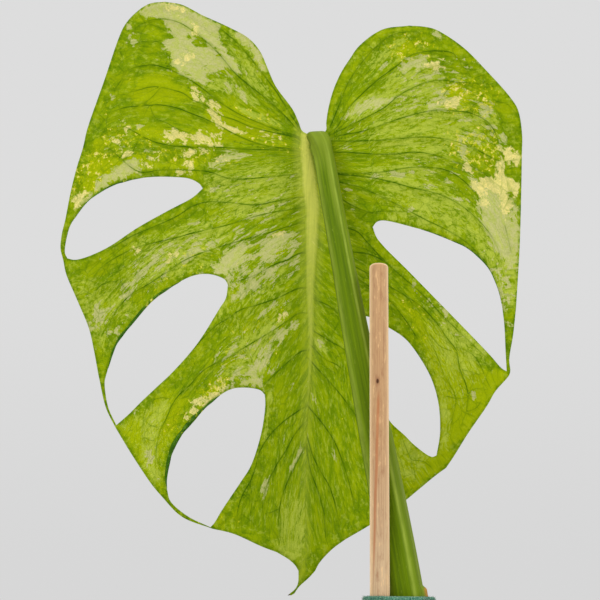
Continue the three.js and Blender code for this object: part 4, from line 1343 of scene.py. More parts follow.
MAIN_VEINS: list[Points] = [
    [(-5, 0.9), (-5.9, 2.7), (-10.5, 9.6), (-17.8, 21), (-23.8, 28.8), (-30.2, 37), (-35.7, 43),
     (-42.1, 48.5), (-49.9, 54)],
    [(-5, 0), (-12.4, 8.2), (-21, 16.4), (-29.3, 22.8), (-36.2, 28.8), (-43, 37), (-49.4, 43.4),
     (-55.4, 48), (-61.3, 51.7), (-68.2, 53.5), (-74.1, 53.1), (-79.6, 50.8), (-83.8, 47.1),
     (-85.6, 43)],
    [(-5.5, -1.4), (-7.8, 0), (-16.9, 2.7), (-26.1, 6.4), (-35.2, 10.5), (-44.4, 16.4),
     (-51.3, 21.9), (-58.1, 26.5), (-63.6, 29.3), (-69.1, 31.5), (-73.7, 32.5), (-81.5, 31.5),
     (-85.6, 29.7), (-89.7, 27.9), (-95.2, 27)],
    [(-5.5, -2.3), (-7.3, -1), (-15.6, 0.9), (-28.4, 4.1), (-36.2, 7.3), (-43, 9.6), (-49.9, 14.2),
     (-55.4, 16.4), (-60, 19.6), (-64.5, 21), (-70.5, 22.4), (-75.1, 22.4), (-81.9, 20.6),
     (-91.1, 19.6)],
    [(-5.5, -6.4), (-7.3, -6), (-21.5, -4.6), (-30.2, -1.9), (-37.1, 1.3), (-43.9, 5), (-50.8, 8.2),
     (-57.7, 10.9), (-62.7, 12.8), (-70.5, 14.2), (-79.6, 13.7), (-85.6, 13.2), (-90.2, 11.9),
     (-95.7, 10), (-99.8, 9.1)],
    [(-5.5, -7.4), (-7.3, -6.9), (-32.5, -6), (-43.9, -5.1), (-55.4, -5.1), (-66.8, -4.2),
     (-74.1, -2.3), (-80.5, 0.9), (-86.5, 4.1), (-91.1, 4.1), (-95.7, 1.8), (-98.9, -1.4)],
    [(-5.5, -17.4), (-7.3, -17.4), (-21, -18.8), (-32.5, -19.7), (-39.8, -19.3), (-47.6, -16.5),
     (-58.1, -15.6), (-70.5, -15.6), (-79.6, -16.5), (-87.9, -11), (-91.1, -7.8), (-94.7, -5.1),
     (-100.2, -4.2), (-103.9, -5.5)],
    [(-5, -28), (-6.4, -28), (-16.9, -29.8), (-27, -31.6), (-36.2, -30.7), (-43.9, -30.2),
     (-49, -30.2), (-55.4, -32.1), (-62.7, -36.7), (-73.7, -41.7), (-83.3, -45.8), (-91.1, -50.4),
     (-97, -54), (-105.3, -55.9)],
    [(-4.6, -33), (-6.4, -33), (-24.7, -36.2), (-39.8, -40.8), (-55.4, -44.4), (-63.6, -46.7),
     (-73.7, -49), (-81.9, -51.3), (-91.1, -55.9), (-97, -60), (-101.6, -65.9), (-104.8, -75.1)],
    [(-4.6, -39.9), (-6.4, -39.9), (-21, -44.4), (-32.5, -47.6), (-47.6, -52.2), (-59, -56.8),
     (-67.3, -62.3), (-76.4, -68.2), (-82.8, -71.9), (-87.4, -76), (-92.4, -83.3), (-94.7, -90.2),
     (-95.7, -95.7)],
    [(-4.1, -53.6), (-6.4, -53.6), (-12.4, -56.8), (-18.8, -59.1), (-24.7, -62.7), (-30.2, -65),
     (-36.2, -66.9), (-38.9, -68.2)],
    [(-3.7, -69.6), (-6.4, -69.6), (-16.9, -74.2), (-26.1, -77.4), (-33.9, -79.7), (-38.9, -83.3),
     (-44.4, -86.5), (-49.9, -91.6), (-55.8, -98), (-61.8, -103.5), (-69.6, -110.3),
     (-78.7, -119.5), (-86.5, -128.2)],
    [(-3.7, -81), (-6.4, -81), (-16.9, -87.9), (-28.4, -94.8), (-39.8, -101.6), (-50.3, -107.1),
     (-56.3, -113.5), (-61.8, -118.6), (-65, -123.2), (-67.7, -129.6), (-70, -134.1),
     (-71.9, -140.6), (-72.3, -147.9), (-72.8, -153.8), (-71.4, -161.1)],
    [(-3.7, -98), (-6.4, -98.9), (-11.9, -103.5), (-16.9, -108.1), (-22, -113.1), (-23.8, -115.4)],
    [(-3.7, -123.6), (-6.4, -125.4), (-13.7, -130.5), (-20.1, -136.9), (-24.7, -144.2),
     (-27, -152.4), (-29.3, -158.4), (-32.5, -163.9), (-34.8, -170.8), (-35.7, -180.4)],
    [(-4.1, -130.9), (-8.7, -136.4), (-12.8, -143.8), (-17.4, -151.1), (-21, -158.4),
     (-23.3, -167.1), (-23.3, -173), (-22.4, -179)],
    [(-4.1, -141.9), (-5, -143.8), (-8.7, -151.1), (-12.4, -158.9), (-15.1, -167.1), (-16, -173),
     (-16.5, -181.7)],
    [(6, 1.3), (8.7, 7.3), (11.9, 15.1), (15.6, 24.2), (21.1, 32.5), (27.9, 40.2), (33.4, 44.8),
     (38.5, 47.1), (47.6, 47.6), (54, 47.1)],
    [(6.4, 0.9), (10.5, 4.1), (15.1, 11.9), (22.4, 19.6), (30.2, 26.5), (37.1, 31.5), (43, 36.1),
     (49.4, 38.4), (56.8, 38.9), (63.2, 38), (66.8, 34.7), (71.4, 31.5), (75.1, 28.8),
     (80.6, 24.7)],
    [(6.4, 0), (14.2, 3.6), (23.4, 8.2), (32.5, 13.2), (38, 17.8), (44.9, 21.9), (52.2, 24.7),
     (58.6, 25.6), (64.5, 24.7), (72.3, 24.2), (79.6, 23.8), (86.1, 20.1)],
    [(6.9, -1), (12.8, 0.4), (24.3, 2.7), (33.4, 5.9), (41.7, 8.7), (49.9, 10.9), (56.8, 11.9),
     (64.5, 11.4), (70, 10.9), (76.9, 8.2), (81.5, 4.1), (84.2, -1.9), (86.1, -7.8), (86.5, -14.7)],
    [(6.9, -2.3), (9.6, -2.3), (20.1, -2.3), (30.2, -1.9), (40.7, -1), (50.8, -0.5), (60, -1.4),
     (65.9, -2.8), (72.3, -5.1), (78.3, -8.3), (83.8, -11), (88.8, -11.9), (93.8, -12.4)],
    [(7.3, -7.8), (12.8, -7.4), (20.1, -7.8), (28.8, -8.3), (37.1, -8.3), (44.9, -7.4),
     (50.8, -7.8), (57.7, -9.6), (64.5, -11.9), (72.3, -14.2), (79.2, -18.3), (85.1, -25.7)],
    [(7.3, -17), (12.8, -17), (24.3, -17), (33.9, -16.1), (41.7, -14.7), (49.9, -14.2),
     (58.6, -15.1), (63.6, -17), (69.1, -21.1), (73.7, -26.1), (77.8, -33)],
    [(7.3, -17.4), (14.2, -17.9), (24.7, -18.8), (35.7, -21.1), (45.3, -23.8), (54, -25.7),
     (61.3, -28.4), (68.2, -32.5), (72.8, -36.2), (77.4, -40.8), (82.4, -47.6), (86.5, -57.7)],
    [(8.2, -19.7), (11.9, -21.1), (22, -23.8), (31.1, -28), (38.5, -31.6), (45.3, -35.3),
     (52.2, -38.9), (60, -42.6), (67.7, -47.2), (73.7, -52.2), (79.2, -58.6), (83.8, -68.2)],
    [(9.2, -26.6), (13.3, -29.3), (18.8, -32.5), (24.7, -34.8), (30.2, -36.2)],
    [(11, -40.8), (15.1, -42.1), (20.1, -44), (24.3, -48.6), (29.3, -54), (37.1, -61.4)],
    [(12.8, -52.2), (17.9, -53.1), (24.7, -54), (31.1, -56.8), (39.4, -63.7), (48.5, -71.4),
     (60, -83.3), (71.4, -94.3), (82.9, -105.3)],
    [(14.7, -57.7), (26.6, -64.1), (34.3, -68.7), (42.1, -73.3), (49.4, -78.3), (55.4, -84.7),
     (60.9, -92.5), (65, -98), (66.8, -106.7), (69.6, -114), (70.5, -119), (69.6, -126.4),
     (67.7, -131.4), (65.9, -138.7)],
    [(16.5, -63.2), (26.6, -69.6), (33.4, -74.2), (39.4, -81), (44.9, -88.8), (49.4, -96.2)],
    [(0.9, -75.1), (5, -76.9), (11.9, -80.6), (19.7, -83.3)],
    [(-0.9, -88.8), (5, -92.5), (14.2, -98), (22, -104.4), (30.2, -114), (36.2, -120.9),
     (41.2, -128.7), (46.7, -135.5), (51.3, -141.9), (55.8, -147)],
    [(-1.4, -95.7), (5, -102.1), (10.5, -104.8), (13.7, -107.6)],
    [(-2.7, -101.6), (0.5, -105.3), (5.5, -110.8), (11.9, -118.1), (17.4, -125.4), (22, -132.3),
     (26.6, -141.5), (29.3, -152.9), (30.2, -164.4)],
    [(-3.2, -123.2), (4.1, -131.9), (9.2, -139.6), (12.8, -148.3), (15.6, -157), (17.9, -167.1),
     (18.8, -174.4)],
    [(-3.2, -137.3), (-0.5, -146.5), (3.2, -153.8), (6.9, -160.2), (9.6, -168.5), (11, -175.8),
     (11.5, -182.2)],
    [(-3.7, -141.9), (-1.4, -153.8), (1.8, -162.5), (4.1, -170.8), (5, -177.6), (5.5, -187.2)],
]

CROSS_VEINS: list[Points] = [
    [(-69.1, 43.9), (-73.7, 43), (-79.6, 43), (-83.8, 40.7)],
    [(-65, 29.7), (-66.8, 37), (-71.4, 42.1)],
    [(-75.1, 13.7), (-72.8, 8.7), (-67.3, 5.9), (-61.3, 2.7), (-54.5, 0.9)],
    [(-70.5, 21.9), (-74.1, 17.8), (-79.6, 13.7)],
    [(-85.6, 29.7), (-88.8, 24.7), (-92.4, 19.6)],
    [(-97, -60), (-89.7, -58.6), (-83.8, -61.4)],
    [(-87.9, -66.9), (-94.3, -66.9), (-98.9, -69.6), (-101.6, -73.7), (-103.4, -77.4)],
    [(-83.8, -71.9), (-87.9, -67.8), (-89.7, -57.7)],
    [(-67.3, -119.5), (-73.7, -120.9), (-77.3, -125.9), (-78.3, -131.9), (-78.7, -136.9),
     (-76.9, -143.8)],
    [(-78.7, -137.3), (-75.1, -139.2), (-71.9, -139.6)],
    [(-78.3, -129.1), (-75.1, -132.3), (-70, -133.7)],
    [(-32.5, -163.9), (-27.5, -167.1), (-23.3, -166.2)],
    [(-23.3, -173), (-19.2, -172.1), (-15.6, -170.3)],
    [(-29.3, -157.5), (-28.4, -166.6), (-29.3, -174.9)],
    [(-87.9, -11), (-83.3, -7.4), (-79.6, 0)],
    [(46.2, 27.9), (52.2, 31.1), (61.3, 33.4), (66.4, 35.7)],
    [(70.5, 10.9), (74.6, 15.1), (81.5, 15.5), (87.4, 15.1), (92, 10.9), (93.8, 6.4)],
    [(58.6, 17.8), (63.6, 24.2)],
    [(72.3, -5.1), (75.1, 0.4), (80.6, 3.6)],
    [(60.4, -11), (67.7, -13.8)],
    [(24.7, -34.8), (35.7, -34.4), (43, -35.3)],
    [(87.4, -40.8), (88.8, -46.7), (90.6, -54.5)],
    [(49.4, -84.7), (54.5, -96.2), (57.2, -103), (60, -110.3), (63.6, -116.3), (65, -120),
     (63.2, -130), (61.3, -139.2)],
    [(65, -96.2), (72.3, -99.8), (76, -104.8), (79.2, -112.2), (81.9, -117.2)],
    [(60, -119), (65, -120), (70, -119.5), (72.3, -116.3), (77.4, -115.8), (80.6, -117.2)],
    [(66.8, -106.7), (72.3, -108.1), (77.4, -109.9)],
    [(69.6, -126.4), (74.2, -124.5), (76.9, -120.9)],
    [(39.4, -135.5), (42.1, -142.8), (44.4, -148.3), (46.2, -154.7), (46.7, -160.2)],
    [(35.7, -138.7), (38.5, -145.6), (41.2, -153.8), (42.1, -162.1)],
    [(41.2, -158.4), (46.7, -157.9)],
    [(44.4, -148.3), (50.4, -149.2), (54.9, -152.9)],
    [(53.1, -90.7), (57.7, -96.2), (64.5, -98.9)],
]

# Patches with an edge, as outlines. The gaps come after the patches that they cut
PATCHES: dict[Shade, list[Points]] = {
    Shade.MINT: [
        [(-108, -31), (-102, -25), (-97, -19), (-90, -14), (-85, -10), (-81, -10), (-80, -15),
         (-85, -18), (-92, -21), (-99, -25), (-103, -30)],
        [(-35.7, 49.9), (-29.3, 45.3), (-23.8, 37), (-20.6, 28.8), (-23.3, 29.3), (-27, 36.1),
         (-31.6, 41.6), (-37.1, 46.6)],
        [(-42.1, 34.7), (-40.3, 32), (-38, 26.5), (-39.8, 27.4)],
        [(-34.8, 21.9), (-32.5, 20.1), (-30.7, 15.5), (-32.9, 17.4)],
        [(-40.3, 23.8), (-38.4, 22.8), (-37.5, 19.6), (-39.4, 20.1)],
        [(-79.6, 56.7), (-75.1, 60.8), (-70.5, 61.8), (-63.6, 60.8), (-56.7, 58.1), (-49.9, 54.9),
         (-43.9, 51.2), (-44.4, 47.6), (-42.6, 43), (-40.3, 38.4), (-37.5, 35.7), (-34.8, 31.5),
         (-33.4, 28.8), (-38.4, 30.2), (-43, 30.2), (-46.2, 28.8), (-49, 27.9), (-48.5, 22.8),
         (-50.8, 21.9), (-54, 24.7), (-57.7, 27), (-61.3, 28.8), (-64.1, 31.1), (-65.4, 34.7),
         (-66.8, 38.4), (-68.2, 40.7), (-68.6, 43), (-65.4, 44.8), (-65.4, 47.6), (-66.8, 50.3),
         (-68.6, 54), (-75.1, 54), (-78.7, 55.8)],
        [(-48.5, -14.7), (-46.2, -11.9), (-43.5, -9.6), (-39.4, -7.8), (-34.8, -7.4), (-29.7, -8.3),
         (-34.3, -10.1), (-38.9, -11.9), (-43, -13.8)],
        [(-28.4, -38), (-26.5, -35.3), (-23.8, -33.9), (-20.1, -32.1), (-15.1, -31.2), (-17.4, -33),
         (-21.5, -34.8), (-25.2, -37.1)],
        [(-23.3, -56.3), (-25.2, -53.6), (-22.4, -51.3), (-20.1, -47.6), (-18.8, -45.3),
         (-16, -44.4), (-12.4, -44), (-8.2, -43.5), (-10.1, -45.8), (-12.4, -49.5), (-15.1, -52.2),
         (-17.8, -53.6), (-20.6, -56.8)],
        [(-45.8, -60.5), (-43.9, -57.7), (-41.6, -54), (-38, -52.2), (-33.9, -50.4), (-30.2, -48.6),
         (-25.6, -49), (-29.3, -51.3), (-32.5, -53.1), (-33.9, -55), (-29.7, -55.4), (-24.7, -54),
         (-25.6, -56.8), (-30.2, -58.2), (-33.9, -60), (-38, -61.4), (-40.7, -64.6),
         (-43.9, -62.7)],
        [(-22.4, -63.2), (-19.7, -60.5), (-16, -58.6), (-17.8, -61.4), (-20.6, -64.1)],
        [(-38.9, -74.6), (-37.1, -72.4), (-33.9, -71.4), (-29.3, -71.4), (-31.1, -73.3),
         (-34.8, -74.6), (-38.4, -76)],
        [(-17.8, -93.4), (-16, -90.2), (-12.8, -87.9), (-10.1, -85.2), (-7.3, -83.8), (-9.1, -87.9),
         (-11.9, -90.7), (-15.1, -93.9)],
        [(-31.1, -109), (-28.4, -106.2), (-26.1, -103), (-22.9, -100.7), (-22, -104.4),
         (-23.8, -107.6), (-26.5, -109.9), (-29.7, -110.3)],
        [(-33.9, -114), (-31.6, -111.3), (-27.5, -109.4), (-23.8, -109), (-24.7, -111.7),
         (-23.3, -114.5), (-28.8, -114.5)],
        [(12.4, 7.7), (16.5, 11.4), (20.1, 14.6), (23.8, 16), (29.3, 17.4), (34.8, 16.9),
         (37.5, 17.8), (34.8, 15.5), (31.1, 14.2), (27, 12.8), (22.9, 10.9), (17.4, 9.1)],
        [(39.4, 32), (42.6, 34.3), (46.2, 34.7), (49.4, 36.1), (51.7, 35.7), (50.4, 33.8),
         (51.3, 32), (47.2, 30.2), (43, 30.2), (40.7, 28.8)],
        [(52.2, 14.2), (55.8, 16), (60.4, 16.9), (63.6, 16.4), (63.2, 14.6), (60.4, 13.7),
         (56.8, 12.3), (53.1, 12.3)],
        [(76.9, -23.8), (82.4, -22.9), (86.1, -27.5), (87.4, -33), (90.2, -39.4), (90.6, -28.4),
         (93.4, -31.2), (93.8, -43.1), (93.8, -60.5), (88.8, -58.6), (83.8, -53.1), (80.1, -46.7),
         (76.9, -39.4), (75.1, -33)],
    ],
    Shade.CREAM: [
        [(84, -5), (88, -5), (92, -7), (95, -10), (93, -13), (89, -12), (86, -9)],
        [(51, 32), (55, 34), (60, 35), (59, 32), (53, 31)],
        [(-68.6, 60.4), (-62.2, 59.9), (-58.1, 57.6), (-63.2, 56.7), (-66.8, 58.1)],
        [(-63.2, 35.2), (-60, 36.6), (-59, 33.8), (-62.2, 32)],
        [(-55.4, 51.7), (-53.1, 49.4), (-53.1, 46.6), (-54.9, 48)],
        [(-58.1, 38.9), (-55.4, 36.6), (-56.7, 34.7)],
        [(-58.6, -11.9), (-54, -13.8), (-56.7, -16.1)],
        [(-89.2, -6), (-82.4, -6.4), (-86.5, -9.6)],
        [(-92.4, -1.9), (-88.3, -2.3), (-89.7, -5.1)],
        [(-87.9, 6.4), (-84.2, 5), (-85.6, 1.8)],
        [(-109.4, -27.5), (-103.4, -25.7), (-105.7, -31.2), (-109.8, -33)],
        [(-25.6, 2.3), (-15.1, -1), (-17.8, -1.9), (-23.8, 0.4)],
        [(-57.7, -126.4), (-50.8, -123.2), (-46.7, -118.1), (-53.5, -121.8)],
        [(-56.7, 21), (-54.5, 21.5), (-52.6, 19.6), (-49.9, 17.8), (-50.8, 16), (-53.5, 16),
         (-55.4, 18.3)],
        [(-48.1, 15.1), (-44.4, 15.5), (-43.5, 14.2), (-45.8, 12.8), (-43.9, 10), (-42.1, 6.8),
         (-38.9, 3.2), (-35.7, 3.6), (-30.7, 2.7), (-34.8, 1.8), (-40.3, 2.7), (-43.5, 4.5),
         (-46.2, 7.7), (-48.5, 10.5)],
        [(-69.1, 0.4), (-66.8, 2.3), (-63.2, 2.3), (-61.3, 0.9), (-58.1, -0.5), (-54, 0.4),
         (-51.7, 1.3), (-48.5, 0), (-43, 0.4), (-45.8, -1.4), (-49.9, -2.8), (-54.5, -3.2),
         (-58.6, -2.3), (-63.2, -1.9), (-69.6, -1.4)],
        [(-50.8, -3.2), (-45.8, -3.7), (-41.2, -5.5), (-45.8, -5.1)],
        [(-60, -10.1), (-59, -7.8), (-56.7, -6.9), (-55.8, -7.8), (-57.7, -9.6)],
        [(-53.1, -6.9), (-50.8, -5.5), (-49, -6.4), (-51.7, -7.8)],
        [(-75.1, -9.6), (-73.2, -7.8), (-71.4, -8.3), (-73.2, -10.6)],
        [(-78.3, -12.9), (-76.4, -11.9), (-74.6, -13.3), (-76.4, -14.7)],
        [(-62.2, -16.1), (-60.4, -14.7), (-59.5, -17), (-61.3, -17.9)],
        [(-44.8, -11.5), (-42.6, -10.1), (-39.4, -9.6), (-42.1, -11.5)],
        [(-18.3, -45.3), (-16, -44), (-13.3, -43.5), (-15.6, -45.8)],
        [(-67.3, -57.2), (-65.4, -55), (-63.6, -52.2), (-61.3, -50.4), (-62.2, -53.6),
         (-64.5, -56.3)],
        [(-83.8, -52.7), (-81.9, -51.3), (-79.6, -51.3), (-81, -53.1)],
        [(-17.4, -85.6), (-15.6, -83.3), (-12.8, -81.5), (-13.7, -84.3), (-16, -86.5)],
        [(-57.7, -126.8), (-56.3, -123.2), (-54.5, -120.9), (-51.7, -119), (-53.1, -121.8),
         (-54, -124.1), (-56.3, -126.8)],
        [(-58.1, -129.1), (-56.7, -127.3), (-54, -125.9), (-56.3, -129.1)],
        [(-45.8, -119.5), (-43.5, -116.8), (-41.6, -114.9), (-39.4, -114), (-40.7, -116.3),
         (-43.5, -118.6)],
        [(56.3, 14.6), (60.4, 16), (63.6, 16.9), (66.4, 17.4), (66.4, 15.1), (64.1, 13.7),
         (60, 13.2)],
        [(66.8, -11.5), (69.6, -11), (71, -13.8), (71.4, -17), (69.1, -15.1)],
        [(83.3, -12.9), (86.1, -11.5), (87, -13.8), (84.7, -15.1)],
        [(72.3, -21.1), (76, -20.2), (79.6, -19.7), (82.4, -18.8), (84.7, -16.1), (87, -16.1),
         (88.3, -18.8), (91.1, -20.6), (94.3, -22.9), (94.3, -28), (92, -26.1), (88.8, -25.7),
         (89.7, -31.6), (88.8, -38), (87, -34.8), (85.1, -30.2), (83.3, -26.6), (80.6, -23.8),
         (77.4, -24.8), (78.3, -29.3), (78.7, -32.5), (76.4, -31.6), (74.6, -27)],
    ],
    Shade.GAP: [
        [(-55.8, 48.5), (-52.2, 46.2), (-49, 42.5), (-49.9, 41.2), (-53.1, 43.9)],
        [(-56.3, 44.8), (-54, 43.4), (-52.2, 41.2), (-54, 41.2)],
        [(-51.7, 33.8), (-49.9, 32.5), (-50.8, 30.2)],
        [(-46.2, 41.2), (-43.5, 38.4), (-42.1, 35.7), (-44.4, 37.5)],
    ],
    Shade.LIME: [
        [(61, 23), (67, 24), (70, 20), (72, 17), (68, 12), (63, 14), (60, 19)],
        [(-86, 18), (-80, 26), (-70, 29), (-61, 24), (-54, 18), (-59, 15), (-70, 15), (-82, 13)],
        [(36, 39), (40, 44), (47, 43), (45, 38), (39, 35)],
        [(-106.2, -19.3), (-102.5, -11), (-96.1, -8.3), (-87.9, -11), (-79.6, -7.4), (-75.1, -10.1),
         (-65, -11), (-54, -11.9), (-45.8, -8.3), (-56.7, -16.5), (-75.1, -14.7), (-91.1, -19.3),
         (-104.8, -27)],
        [(-82.4, 0.9), (-76.9, -2.8), (-66.8, -2.8), (-54, -5.1), (-42.1, -5.1), (-29.3, -2.8),
         (-13.3, -1), (-21, 6.4), (-33.9, 11.9), (-45.3, 16.4), (-50.3, 9.1), (-49.4, 4.1),
         (-58.6, 2.3), (-68.6, 3.6), (-75.1, 5.5), (-80.5, 4.5)],
        [(-105.3, -6.4), (-101.6, -1), (-96.1, -1), (-92.4, -4.2), (-98.9, -7.4)],
        [(-88.3, -133.7), (-80.5, -126.4), (-69.1, -120), (-58.1, -117.2), (-59.5, -126.4),
         (-65.9, -137.3), (-70.5, -149.2), (-70, -161.1), (-76, -154.7), (-83.3, -143.8)],
        [(35.3, -126), (41, -134), (50, -141), (60, -146), (66, -143), (58, -153), (47, -160),
         (35.3, -165)],
        # This lime patch also paints light on the lower right lobe, which lies in shade
        [(39.4, -73.3), (57.7, -88.8), (71.4, -101.6), (88.3, -109), (76.9, -127.7), (60, -147),
         (48.5, -154.7), (36.6, -151.1), (35.3, -133.7), (55.8, -144.7), (58.1, -120.9),
         (50.8, -98.9)],
        [(-76, -121.8), (-72.3, -118.6), (-67.7, -117.2), (-63.2, -117.2), (-65.9, -120.9),
         (-71.4, -123.6)],
    ],
    Shade.HAZE: [
        [(-36, 13.4), (-24.2, 10.4), (-12.6, 4.8), (-18, 4.2), (-29.3, 8.1)],
        [(-38.4, 48.5), (-32.5, 45.7), (-27.5, 42.1), (-23.3, 35.7), (-20.1, 28.3), (-22.4, 27.4),
         (-27, 34.7), (-32, 41.2), (-36.6, 44.8)],
        [(-49, 21.9), (-45.8, 27), (-37.5, 25.6), (-30.2, 20.1), (-23.8, 13.7), (-26.5, 12.8),
         (-33.9, 17.4), (-42.1, 20.1)],
        [(-50.3, -18.3), (-40.7, -15.6), (-31.6, -20.2), (-33.9, -25.7), (-45.3, -27.5),
         (-49.9, -24.8)],
        [(-100.7, -83.3), (-96.6, -83.3), (-95.2, -88.8), (-96.1, -98), (-98.9, -98.9),
         (-100.2, -91.1)],
        [(-76, -66.4), (-73.2, -62.3), (-68.6, -57.7), (-65, -57.7), (-67.7, -62.3), (-72.3, -66.9),
         (-76, -69.6)],
        [(-86, -50.4), (-79.6, -45.8), (-72.3, -44), (-75.1, -48.6), (-81.5, -52.2)],
        [(-42.1, -98.9), (-33.9, -92.5), (-23.8, -86.5), (-14.6, -85.2), (-19.2, -94.3),
         (-21, -105.3), (-23.8, -110.8), (-31.1, -108.1), (-37.5, -111.7), (-42.1, -109),
         (-35.7, -101.6)],
        [(-79.6, -127.7), (-74.1, -122.7), (-66.8, -120), (-65.9, -123.6), (-69.1, -130),
         (-70.9, -139.2), (-71.4, -148.3), (-69.1, -157.5), (-73.2, -158.4), (-78.3, -149.2),
         (-79.6, -139.2)],
        [(-22.4, -120.9), (-19.7, -116.8), (-18.8, -121.8), (-20.6, -127.7), (-21, -134.6),
         (-22.9, -141), (-23.8, -139.2), (-22.4, -132.3), (-21.5, -125.4)],
        [(0, -92.5), (2.8, -90.7), (6, -94.3), (6.4, -98.9), (2.8, -98.9), (0.5, -96.2)],
        [(-16.5, -192.3), (-16, -182.7), (-13.7, -173), (-10.1, -166.6), (-4.6, -166.6),
         (-4.6, -180.4), (-5.5, -192.3), (-11, -195)],
        [(14.2, 8.2), (19.2, 16.4), (26.6, 19.6), (35.7, 21), (40.3, 20.1), (35.7, 13.7),
         (27.5, 10), (18.8, 6.4)],
        [(31.6, 24.7), (36.6, 29.3), (50.8, 32), (60.4, 27.4), (59.1, 20.1), (53.1, 16.4),
         (44.9, 18.3), (37.5, 14.6), (33, 16.4)],
        [(63.2, 8.2), (68.7, 10.9), (83.3, 10.9), (85.1, 5.5), (77.8, 3.6), (65.9, 3.6)],
        [(80.6, -52.2), (88.8, -57.7), (93.4, -59.5), (93.4, -70.5), (90.6, -79.7), (87.9, -75.1),
         (86.1, -65.9)],
        [(54, -29.3), (60.4, -28.4), (65.9, -31.6), (71.4, -36.7), (76.9, -44), (79.6, -52.2),
         (76, -52.2), (69.6, -46.7), (62.3, -42.1), (55.8, -36.7)],
        [(32, -39.4), (35.7, -32.1), (44.9, -29.3), (54, -31.2), (57.7, -39.4), (48.5, -38.5),
         (40.3, -37.6)],
        [(19.2, -15.6), (30.2, -13.8), (44.9, -12.9), (57.7, -15.6), (53.1, -20.2), (40.3, -22),
         (27.5, -20.2)],
        [(23.8, 33.8), (29.3, 38.4), (35.7, 43.9), (44.9, 46.6), (41.2, 42.1), (33, 34.7),
         (26.6, 29.3)],
        [(56.8, -118.6), (59.5, -117.2), (63.2, -130), (60.4, -144.7), (57.7, -146), (58.1, -130)],
        [(57.7, -75.1), (67.7, -85.2), (76, -93.4), (81.5, -100.7), (77.8, -100.7), (69.6, -92.5),
         (60.4, -83.3)],
    ],
    Shade.FLECK: [
        [(-5.9, -141.5), (-5, -142.8), (-5.9, -146), (-7.8, -148.8), (-9.6, -152), (-10.5, -154.3),
         (-10.5, -151.5), (-8.7, -147.9), (-6.9, -144.7)],
        [(-85.1, 45.7), (-82.8, 47.1), (-81, 46.2), (-80.5, 42.5), (-81.5, 39.8), (-83.8, 41.2),
         (-86.5, 42.5)],
        [(-86, 51.2), (-83.8, 51.7), (-82.4, 49.4), (-85.1, 48.9)],
        [(-82.4, 3.6), (-80.5, 5.5), (-78.7, 4.1), (-80.1, 2.3)],
        [(-93.4, 18.3), (-91.5, 19.2), (-90.6, 17.4), (-92.4, 16.4)],
        [(-50.3, -22.9), (-46.7, -22), (-42.1, -23.4), (-38.4, -25.2), (-43, -26.1), (-49, -25.2)],
        [(-36.6, -69.1), (-33.4, -67.3), (-30.7, -65.5), (-28.8, -67.3), (-31.1, -70.1),
         (-34.3, -71)],
        [(-30.7, -69.6), (-27.5, -66.4), (-23.8, -65.9), (-25.2, -69.1), (-28.4, -71.4)],
        [(-38, -42.1), (-34.8, -41.2), (-31.1, -43.1), (-33.4, -45.8), (-37.1, -46.3)],
        [(-57.7, -40.8), (-56.3, -38.5), (-52.6, -38.9), (-54, -41.2)],
        [(-60.9, -58.6), (-59.5, -55), (-57.7, -52.2), (-55.8, -49), (-53.1, -46.7), (-49.4, -46.3),
         (-51.7, -50.4), (-54, -54), (-56.7, -56.8), (-59.5, -59.5)],
        [(-49.9, -50.4), (-46.7, -47.6), (-42.1, -46.7), (-45.8, -50.8), (-49, -53.1)],
        [(-81.5, -62.7), (-78.7, -60.5), (-76.4, -57.2), (-74.1, -55), (-71.4, -54), (-71.4, -56.8),
         (-73.7, -59.5), (-76.4, -61.4), (-78.3, -63.2), (-80.5, -64.6)],
        [(-88.8, -69.6), (-87, -67.3), (-84.2, -66.9), (-81.5, -64.6), (-80.5, -66.4),
         (-82.4, -69.6), (-83.3, -73.3), (-85.6, -75.6), (-88.3, -74.2)],
        [(-100.7, -77.4), (-98.4, -76.5), (-96.1, -78.8), (-95.7, -82.4), (-97, -86.1),
         (-99.3, -84.3), (-101.1, -80.6)],
        [(-27.5, -84.3), (-23.8, -80.6), (-20.1, -77.8), (-15.1, -75.1), (-10.1, -73.3),
         (-12.8, -76.5), (-17.8, -78.8), (-22.4, -81.5), (-25.6, -84.3)],
        [(-26.5, -98.9), (-24.7, -96.2), (-21.5, -93.9), (-18.3, -92.5), (-19.7, -96.6),
         (-21, -100.7), (-23.8, -102.6), (-25.6, -101.6)],
        [(-39.4, -98.9), (-36.6, -95.7), (-32.5, -92.5), (-33.9, -95.7), (-37.1, -98.4)],
        [(-37.5, -109.4), (-35.7, -106.7), (-32.9, -105.3), (-32.5, -107.1), (-35.2, -109.9)],
        [(-77.8, -148.3), (-76.9, -144.7), (-74.6, -142.4), (-71.9, -141), (-72.3, -144.7),
         (-73.7, -148.8), (-76.4, -151.1)],
        [(1.8, -93.4), (4.1, -93.4), (5, -95.7), (3.2, -96.6)],
        [(-1.4, -116.3), (0, -118.1), (0.9, -122.2), (-0.5, -121.3)],
        [(7.8, -140.1), (8.7, -141), (10.1, -148.3), (9.2, -147.9)],
        [(-23.8, -166.6), (-24.7, -163.9), (-23.8, -158.9), (-22.4, -155.2), (-20.1, -155.7),
         (-21, -160.2), (-22.4, -164.4)],
        [(75.1, 14.6), (79.2, 15.5), (82.9, 14.6), (81.9, 10.9), (78.3, 8.2), (75.1, 10.9)],
        [(65, -6.4), (68.7, -5.5), (71.4, -7.4), (67.7, -9.6)],
        [(84.2, 0.9), (87, 1.8), (88.8, -1), (88.3, -4.6), (85.1, -3.7)],
        [(26.1, -18.8), (30.2, -17.4), (35.7, -16.5), (41.7, -16.1), (45.3, -17), (41.7, -17.9),
         (37.1, -19.3), (31.6, -19.7)],
        [(12.8, -24.8), (14.7, -23.4), (17.4, -24.3), (16.5, -26.6), (13.7, -26.6)],
        [(11.9, -5.5), (15.1, -4.6), (17.4, -6), (14.7, -6.9)],
